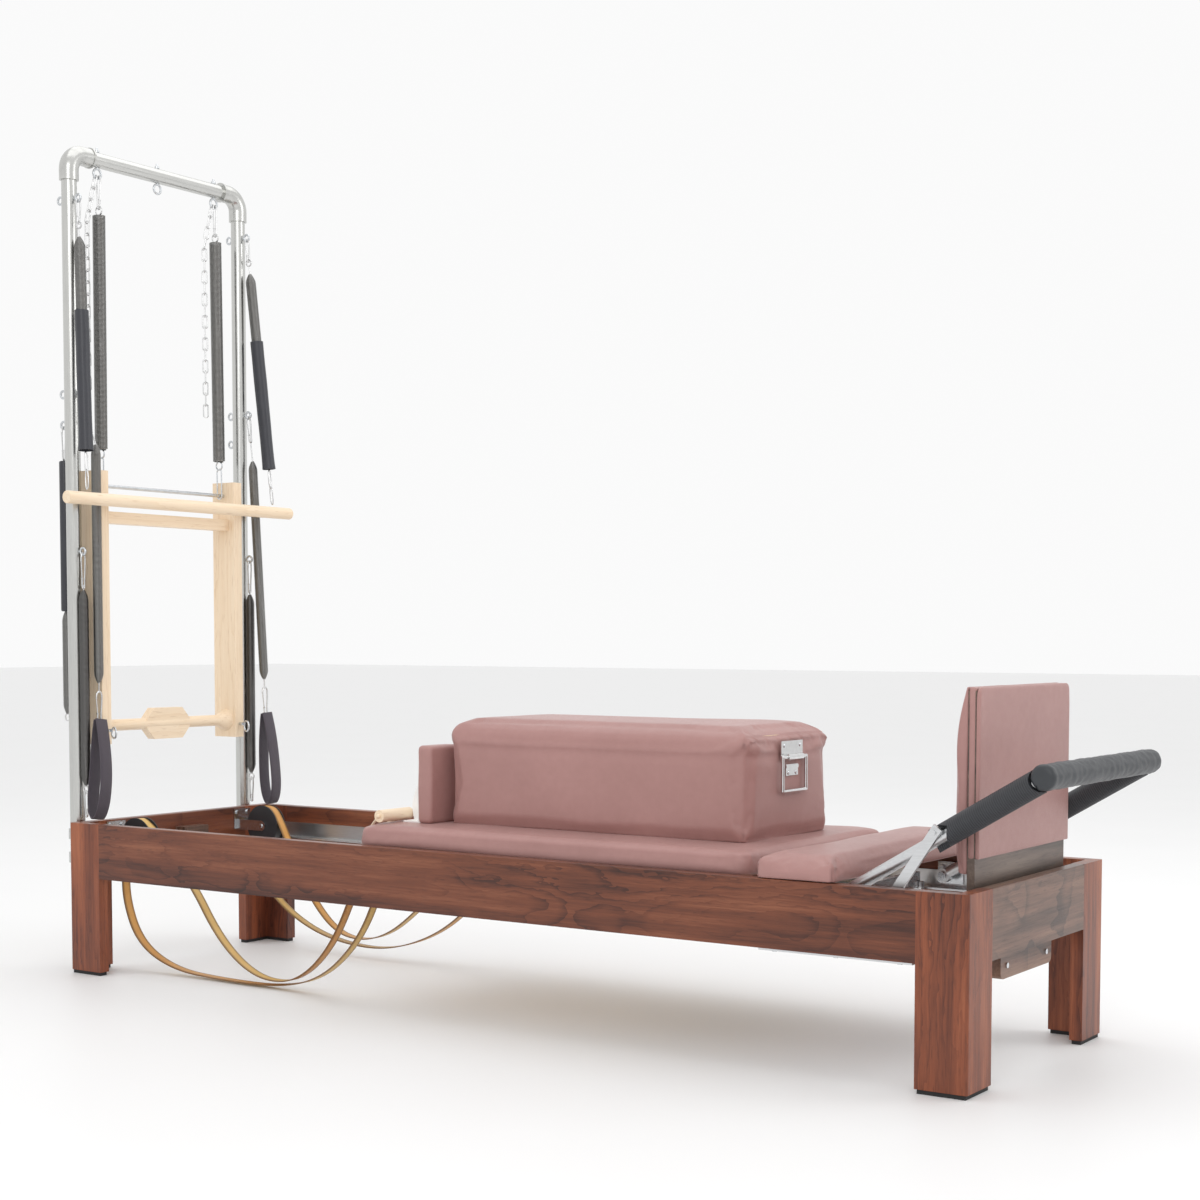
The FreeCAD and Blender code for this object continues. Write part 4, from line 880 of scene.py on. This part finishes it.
wire_radius, heavy_wire_radius = 0.0014, 0.0015
stretched = (
    ("roll_down_springs", "roll_down_coil", "roll_down_hanger", "roll_down_bar", wire_radius, coil_tip),
    ("push_frame_springs", "push_frame_coil", "push_hanger", "push_frame", heavy_wire_radius, None),
)
for node, name, upper, lower, thick, tip in stretched:
    for i, s in enumerate(hung_pieces(node)["coil"]):
        top, bottom = ends_of(s)
        piece = coil(f"{name}_{i}", top, bottom, s["sizes"][1] / 2, thick, tip)
        piece.data.materials.append(wire)
        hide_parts(node)
        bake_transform(piece)
for i, s in enumerate(solids_of("carriage_springs")):
    if s["axes"][0].x < 0:
        s["axes"][0] = -s["axes"][0]
    far, near = ends_of(s)
    piece = coil(f"carriage_coil_{i}", near, far, 0.010, 0.0012, coil_tip, steps=10, sides=5, pitch=0.0036)
    piece.data.materials.append(wire)
    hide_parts("carriage_springs")
    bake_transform(piece)

hanging = (
    ("arm_springs", "frame", "arm", wire),
    ("leg_spring_left", "leg_spring_left", "leg_left", dark_wire),
    ("leg_spring_right", "leg_spring_right", "leg_right", dark_wire),
    ("rear_spring", "rear_spring", "rear", wire),
)
for node, body, prefix, finish in hanging:
    coils = sorted(hung_pieces(node)["coil"], key=lambda s: -s["middle"].z)
    for i, s in enumerate(coils):
        top, bottom = ends_of(s)
        radius = s["sizes"][1] / 2
        if node == "rear_spring" and i == 0:
            long = (top - bottom).length
            bpy.ops.object.select_all(action="DESELECT")
            bpy.ops.mesh.primitive_cylinder_add(vertices=32, radius=radius, depth=long)
            tube = named("rear_sleeve")
            tube.data.transform(Matrix.Translation((0, 0, long / 2)))
            modify(tube, "BEVEL", width=0.004, segments=3, limit_method="ANGLE")
            tube.data.transform(turned(bottom, top))
            smooth(tube)
            dressed(tube, body, "black_sleeve", vinyl)
        else:
            piece = coil(f"{prefix}_coil_{i}", top, bottom, radius, wire_radius, coil_tip)
            dressed(piece, body, "spring_steel", finish)
    hardware(node, body, "spring_steel", chrome, prefix)

# ---- spring sleeves and lower links of the roll down bar ----

found = hung_pieces("roll_down_sleeves")
sleeve_wall = 0.002
for i, s in enumerate(found["coil"]):
    top, bottom = ends_of(s)
    long = (top - bottom).length
    radius = s["sizes"][1] / 2 - 0.0002
    bpy.ops.object.select_all(action="DESELECT")
    bpy.ops.mesh.primitive_cylinder_add(vertices=36, radius=radius, depth=long, end_fill_type="NOTHING")
    tube = named(f"spring_sleeve_{i}")
    only(tube)
    bpy.ops.object.mode_set(mode="EDIT")
    bpy.ops.mesh.select_all(action="SELECT")
    bpy.ops.mesh.subdivide(number_cuts=26)
    bpy.ops.object.mode_set(mode="OBJECT")
    for v in tube.data.vertices:
        t = v.co.z / long + 0.5
        spread = 1 + 0.10 * math.exp(-t * 14) - 0.05 * math.sin(t * 5 + i) * (1 - t)
        wave = noise.noise(Vector((v.co.x * 60, v.co.y * 60, v.co.z * 14 + i * 9))) * 0.035
        v.co.x *= spread + wave
        v.co.y *= spread + wave
    modify(tube, "SOLIDIFY", thickness=sleeve_wall, offset=-1)
    tube.data.transform(turned(bottom, top) @ Matrix.Translation((0, 0, long / 2)))
    smooth(tube, 50)
    dressed(tube, "roll_down_bar", "black_sleeve", vinyl, "roll_down_sleeves")
links = sorted(found["hook"] + found["stem"] + found["ring"], key=lambda s: (s["middle"].y, -s["middle"].z))
made = [oval_link(f"bar_link_{i}", s, 0.4, 0.8) for i, s in enumerate(links)]
dressed(joined("roll_down_links", made), "roll_down_bar", "chrome", chrome)

# ---- cushions ----


def bevelled(obj, test, width, segments):
    """Round the edges that pass a test."""
    only(obj)
    bpy.ops.object.mode_set(mode="EDIT")
    select("EDGE", test)
    bpy.ops.mesh.bevel(offset=width, segments=segments, affect="EDGES", profile=0.5)
    bpy.ops.object.mode_set(mode="OBJECT")


def remesh(obj, size, settling=4):
    """An even skin of small faces over a blank, with its steps smoothed away."""
    only(obj)
    obj.data.remesh_voxel_size = size
    obj.data.remesh_voxel_adaptivity = 0
    bpy.ops.object.voxel_remesh()
    modify(obj, "SMOOTH", factor=0.5, iterations=settling)
    return obj


def blank(name, low, high, axis, corner, rim, rims, size):
    """A pad's blank. Edges along an axis are rounded to corner, the rest to rim, where rims allows."""
    obj = cube(name, low, high)
    way = Vector([k == axis for k in range(3)])
    if corner:
        bevelled(obj, lambda c, d: abs(d.dot(way)) > 0.99 and rims(c), corner, 7)
    bevelled(obj, lambda c, d: abs(d.dot(way)) < 0.2 and rims(c), rim, 6)
    return remesh(obj, size)


def shaped(obj, low, high, push):
    """Move each point by what push gives for its place in the pad, from -1 to 1 each way."""
    middle, half = (low + high) / 2, (high - low) / 2
    for v in obj.data.vertices:
        d = v.co - middle
        v.co += push(v.co, d.x / half.x, d.y / half.y, d.z / half.z, v.normal)
    obj.data.update()
    return obj


def hump(value, centre, width):
    return math.exp(-(((value - centre) / width) ** 2))


def ripple(place, scale, seed=0.0):
    return noise.noise(Vector((place.x * scale.x + seed, place.y * scale.y, place.z * scale.z)))


def puff(obj, pressure, cap, held, frames=12, stiff=15):
    """Let a cover swell under light pressure, held where it is fixed, and no further than a cap."""
    rest = [v.co.copy() for v in obj.data.vertices]
    group = obj.vertex_groups.new(name="held")
    group.add([v.index for v in obj.data.vertices if held(v.co)], 1, "REPLACE")
    only(obj)
    cloth = obj.modifiers.new("cover", "CLOTH")
    cloth.settings.use_pressure = True
    cloth.settings.uniform_pressure_force = pressure
    cloth.settings.vertex_group_mass = "held"
    cloth.settings.effector_weights.gravity = 0
    cloth.settings.tension_stiffness = stiff
    cloth.settings.compression_stiffness = stiff
    cloth.settings.quality = 4
    for f in range(1, frames + 1):
        scene.frame_set(f)
    bpy.ops.object.modifier_apply(modifier=cloth.name)
    scene.frame_set(1)
    for v, r in zip(obj.data.vertices, rest):
        d = v.co - r
        if d.length > cap:
            v.co = r + d * (cap / d.length)
    obj.vertex_groups.clear()
    return obj


def sewn(obj, seams, depth=0.0025, width=0.004, shade_width=0.0022):
    """Sink a pad along its seams, and give the sunk creases a painted shade for the material. A seam is two
    points.
    """
    seam = obj.data.attributes.new("seam", "FLOAT", "POINT")
    normals = [v.normal.copy() for v in obj.data.vertices]
    for v, n in zip(obj.data.vertices, normals):
        far = 1.0
        for a, b in seams:
            d = b - a
            t = min(1, max(0, (v.co - a).dot(d) / d.length_squared))
            far = min(far, (v.co - a - d * t).length)
        v.co -= n * depth * math.exp(-((far / width) ** 2))
        # painted shade: this attribute darkens the sunk crease in the rose material
        seam.data[v.index].value = math.exp(-((far / shade_width) ** 2))
    return obj


def finished(obj, body, fill, *replaced):
    smooth(obj, 60)
    dressed(obj, body, "vinyl", rose, *replaced)
    return obj


def every_edge(c):
    return True


def upright_corners(low, high, inset, below_top):
    """The four upright seams of a pad, as two points each, inside its corners."""
    seams = []
    for x in (low.x + inset, high.x - inset):
        for y in (low.y + inset, high.y - inset):
            seams.append((Vector((x, y, low.z)), Vector((x, y, high.z - below_top))))
    return seams


# the carriage pad
low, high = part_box("carriage_cushion")
edge = Vector((0.002, 0.002, 0))
top = Vector((0.002, 0.002, 0.003))
pad = blank("carriage_pad", low + edge, high - top, 2, 0.034, 0.017, every_edge, 0.008)


def carriage_push(co, u, w, t, n):
    """A slight crown on top, sides drawn in low down, and a little unevenness."""
    crown = 0.0035 * (1 - u ** 4) * (1 - w ** 4) * (t > 0.5)
    waist = 0.003 * hump(t, 0.1, 0.5) * (abs(n.z) < 0.5)
    return Vector((0, 0, crown)) + n * (0.0016 * ripple(co, Vector((7, 7, 20))) - waist)


shaped(pad, low, high, carriage_push)
puff(pad, 2.0, 0.004, lambda co: co.z < low.z + 0.01)
finished(pad, "carriage", 0.85, "carriage_cushion")

# the sitting box
low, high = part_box("box_cover")
edge = Vector((0.008, 0.008, 0))
top = Vector((0.008, 0.008, 0.006))
cover = blank(
    "sitting_box_cover", low + edge, high - top, 2, 0.009, 0.024, lambda c: c.z > low.z + 0.02, 0.006
)


def box_push(co, u, w, t, n):
    """The lid swells over the sides, is drawn in at the sewn corners, and creases above the handles."""
    side = max(abs(n.x), abs(n.y)) * (1 - max(0, n.z))
    along = abs(w) if abs(n.x) > abs(n.y) else abs(u)
    lid = 0.0125 * hump(t, 0.80, 0.17) * (1 - along ** 10) + 0.006 * hump(t, 0.80, 0.12) * along ** 10
    fold = -0.0035 * hump(t, 0.50, 0.10) * (1 - along ** 6)
    foot = -0.004 * hump(t, -1.0, 0.10)
    crown = 0.006 * (1 - u ** 6) * (1 - w ** 4) * max(0, n.z)
    near = max(hump(u, 1.0, 0.16), hump(u, -1.0, 0.16)) * hump(t, 0.55, 0.45)
    crease = 0.006 * near * ripple(co, Vector((16, 9, 16)), 4.0)
    drape = 0.0022 * ripple(co, Vector((5, 6, 9)))
    return n * (side * (lid + fold + foot) + crease + drape) + Vector((0, 0, crown))


shaped(cover, low, high, box_push)
puff(cover, 4.0, 0.006, lambda co: co.z < low.z + 0.012)
sewn(cover, upright_corners(low, high, 0.010, 0.018), 0.004, 0.006, 0.0034)
finished(cover, "sitting_box", 0.9, "box_cover")

# the jump board's pads
low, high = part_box("jump_board_cushion")
panel_low, panel_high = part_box("jump_board_panel")
cover_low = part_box("side_rails")[1].z + 0.051
front_low = (low.x + 0.002, low.y + 0.001, low.z + 0.012)
front_high = (panel_low.x, high.y - 0.001, high.z - 0.001)
front = blank("jump_board_front_pad", front_low, front_high, 0, 0, 0.006, every_edge, 0.006)


def jump_push(co, u, w, t, n):
    """The face falls away towards the top, the foot and both sides."""
    upper = 0.024 * max(0, (t - 0.15) / 0.85) ** 2.4
    lower = 0.010 * max(0, -t) ** 6
    sides = 0.008 * abs(w) ** 6
    back = (0.5 - 0.5 * u) * (upper + lower + sides)
    return Vector((back, 0, 0)) + n * 0.0015 * ripple(co, Vector((8, 8, 8)))


shaped(front, Vector(low), Vector((panel_low.x, high.y, high.z)), jump_push)
puff(front, 3.0, 0.005, lambda co: co.x > panel_low.x - 0.006)
finished(front, "jump_board", 0.8, "jump_board_cushion")
band_low = (panel_low.x + 0.0005, low.y + 0.0015, cover_low)
band_high = (panel_high.x - 0.0005, high.y - 0.0015, high.z - 0.0015)
wrap = blank("jump_board_band", band_low, band_high, 0, 0, 0.003, every_edge, 0.0045)
finished(wrap, "jump_board", 0.3)
back_low = (panel_high.x + 0.0004, low.y + 0.001, cover_low)
back_high = (high.x, high.y - 0.001, high.z - 0.001)
backing = blank(
    "jump_board_back_pad", back_low, back_high, 0, 0.014, 0.0035, lambda c: c.z > high.z - 0.05, 0.0042
)
finished(backing, "jump_board", 0.5)

# the foot platform
low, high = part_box("foot_platform")
edge = Vector((0.002, 0.002, 0))
top = Vector((0.002, 0.002, 0.001))
step_pad = blank(
    "foot_platform_pad", low + edge, high - top, 2, 0.006, 0.014, lambda c: c.z > low.z + 0.02, 0.0055
)


def platform_push(co, u, w, t, n):
    """A long crown that falls to the front, the back and both ends."""
    fall = 0.011 * (0.5 + t / 2) * max(abs(u) ** 2.6, 0.8 * abs(w) ** 8)
    return Vector((0, 0, -fall)) + n * 0.002 * ripple(co, Vector((9, 7, 12)))


shaped(step_pad, low, high, platform_push)
puff(step_pad, 4.0, 0.006, lambda co: co.z < low.z + 0.008)
sewn(step_pad, upright_corners(low, high, 0.004, 0.014), 0.003, 0.005, 0.003)
finished(step_pad, "platform", 0.8, "foot_platform")


# the shoulder rests
def rest_push(co, u, w, t, n):
    return n * (0.0015 * ripple(co, Vector((20, 20, 14))) + 0.002 * (1 - t * t) * max(0, n.x))


for i, s in enumerate(solids_of("shoulder_pads")):
    spans = list(zip(s["axes"], s["sizes"]))
    half = Vector([sum(abs(axis[k]) * size / 2 for axis, size in spans) for k in range(3)])
    low, high = s["middle"] - half, s["middle"] + half
    edge = Vector((0, 0.001, 0.001))
    top = Vector((0.001, 0.001, 0.001))
    rest = blank(f"shoulder_pad_{i}", low + edge, high - top, 0, 0.010, 0.009, every_edge, 0.0045)
    shaped(rest, low, high, rest_push)
    finished(rest, "shoulder_rests", 0.8, "shoulder_pads")

# the chest handles' screws
low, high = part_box("box_cover")
bail_low, bail_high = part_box("box_bail_foot")
screw_radius, screw_rise, above_bail = 0.0045, 0.0018, 0.036
middle_z = (bail_high.z + bail_low.z) / 2 + above_bail
screw_places = ((-0.034, 0.024), (0.034, 0.024), (-0.016, -0.034), (0.016, -0.034))
screws = []
for x in (low.x - screw_rise, high.x + screw_rise):
    for y, z in screw_places:
        place = (x, y, middle_z + z)
        bpy.ops.object.select_all(action="DESELECT")
        bpy.ops.mesh.primitive_uv_sphere_add(
            segments=16, ring_count=8, radius=screw_radius, location=place, scale=(0.5, 1, 1)
        )
        screws.append(smooth(settle(named("screw")), 60))
dressed(joined("chest_handle_screws", screws), "sitting_box", "chrome", zinc)

# ---- the footbar's pad ----
low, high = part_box("footbar_pad")
middle, radius = (low + high) / 2, (high.z - low.z) / 2
bpy.ops.object.select_all(action="DESELECT")
across = (math.pi / 2, 0, 0)
long = high.y - low.y
bpy.ops.mesh.primitive_cylinder_add(
    vertices=48, radius=radius - 0.002, depth=long - 0.004, location=middle, rotation=across
)
roll = settle(named("footbar_roll"))
bevelled(roll, lambda c, d: abs(abs(c.y - middle.y) - long / 2) < 0.004 and abs(d.y) < 0.5, 0.010, 4)
remesh(roll, 0.004)
seam_angle = -2.2
for v in roll.data.vertices:
    angle = math.atan2(v.co.z - middle.z, v.co.x - middle.x)
    out = Vector((v.co.x - middle.x, 0, v.co.z - middle.z))
    if out.length > 0.001:
        gather = noise.noise(Vector((v.co.y * 60, angle * 2, 0))) * 0.0012
        gather += 0.0012 * math.sin(v.co.y * 55) * 0.3
        seam = math.exp(-(((angle - seam_angle) * 14) ** 2)) * 0.003
        v.co += out.normalized() * (gather - seam)
smooth(roll, 60)
dressed(roll, "footbar", "black_sleeve", hide, "footbar_pad")

# ---- the room ----
bpy.ops.object.select_all(action="DESELECT")
bpy.ops.mesh.primitive_plane_add(size=80, location=(0, 0, 0))
floor = named("floor")
p = Paint("pale_floor")
tone = p.mix(p.noise(p.place(), 2.0), (0.86, 0.86, 0.86), (0.88, 0.88, 0.88))
floor.data.materials.append(p.done(tone, 0.5, Specular_IOR_Level=0.3))
floor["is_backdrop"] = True


def lamp(name, place, target, size, power):
    bpy.ops.object.light_add(type="AREA", location=place)
    light = named(name)
    light.data.shape = "RECTANGLE"
    light.data.size, light.data.size_y = size, size
    light.data.energy = power
    light.rotation_euler = (Vector(target) - Vector(place)).to_track_quat("-Z", "Y").to_euler()


lamp("key", (2.6, -4.6, 3.6), (0, 0, 0.4), 2.6, 45)
lamp("overhead", (-0.4, 0.6, 4.6), (0, 0, 0.3), 4.5, 50)
lamp("edge", (4.2, 2.2, 2.6), (0.6, 0, 0.4), 2.0, 28)
world = bpy.data.worlds.new("studio")
scene.world = world
world.use_nodes = True
world.node_tree.nodes["Background"].inputs[0].default_value = (1, 1, 1, 1)
world.node_tree.nodes["Background"].inputs[1].default_value = 0.96

low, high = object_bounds()
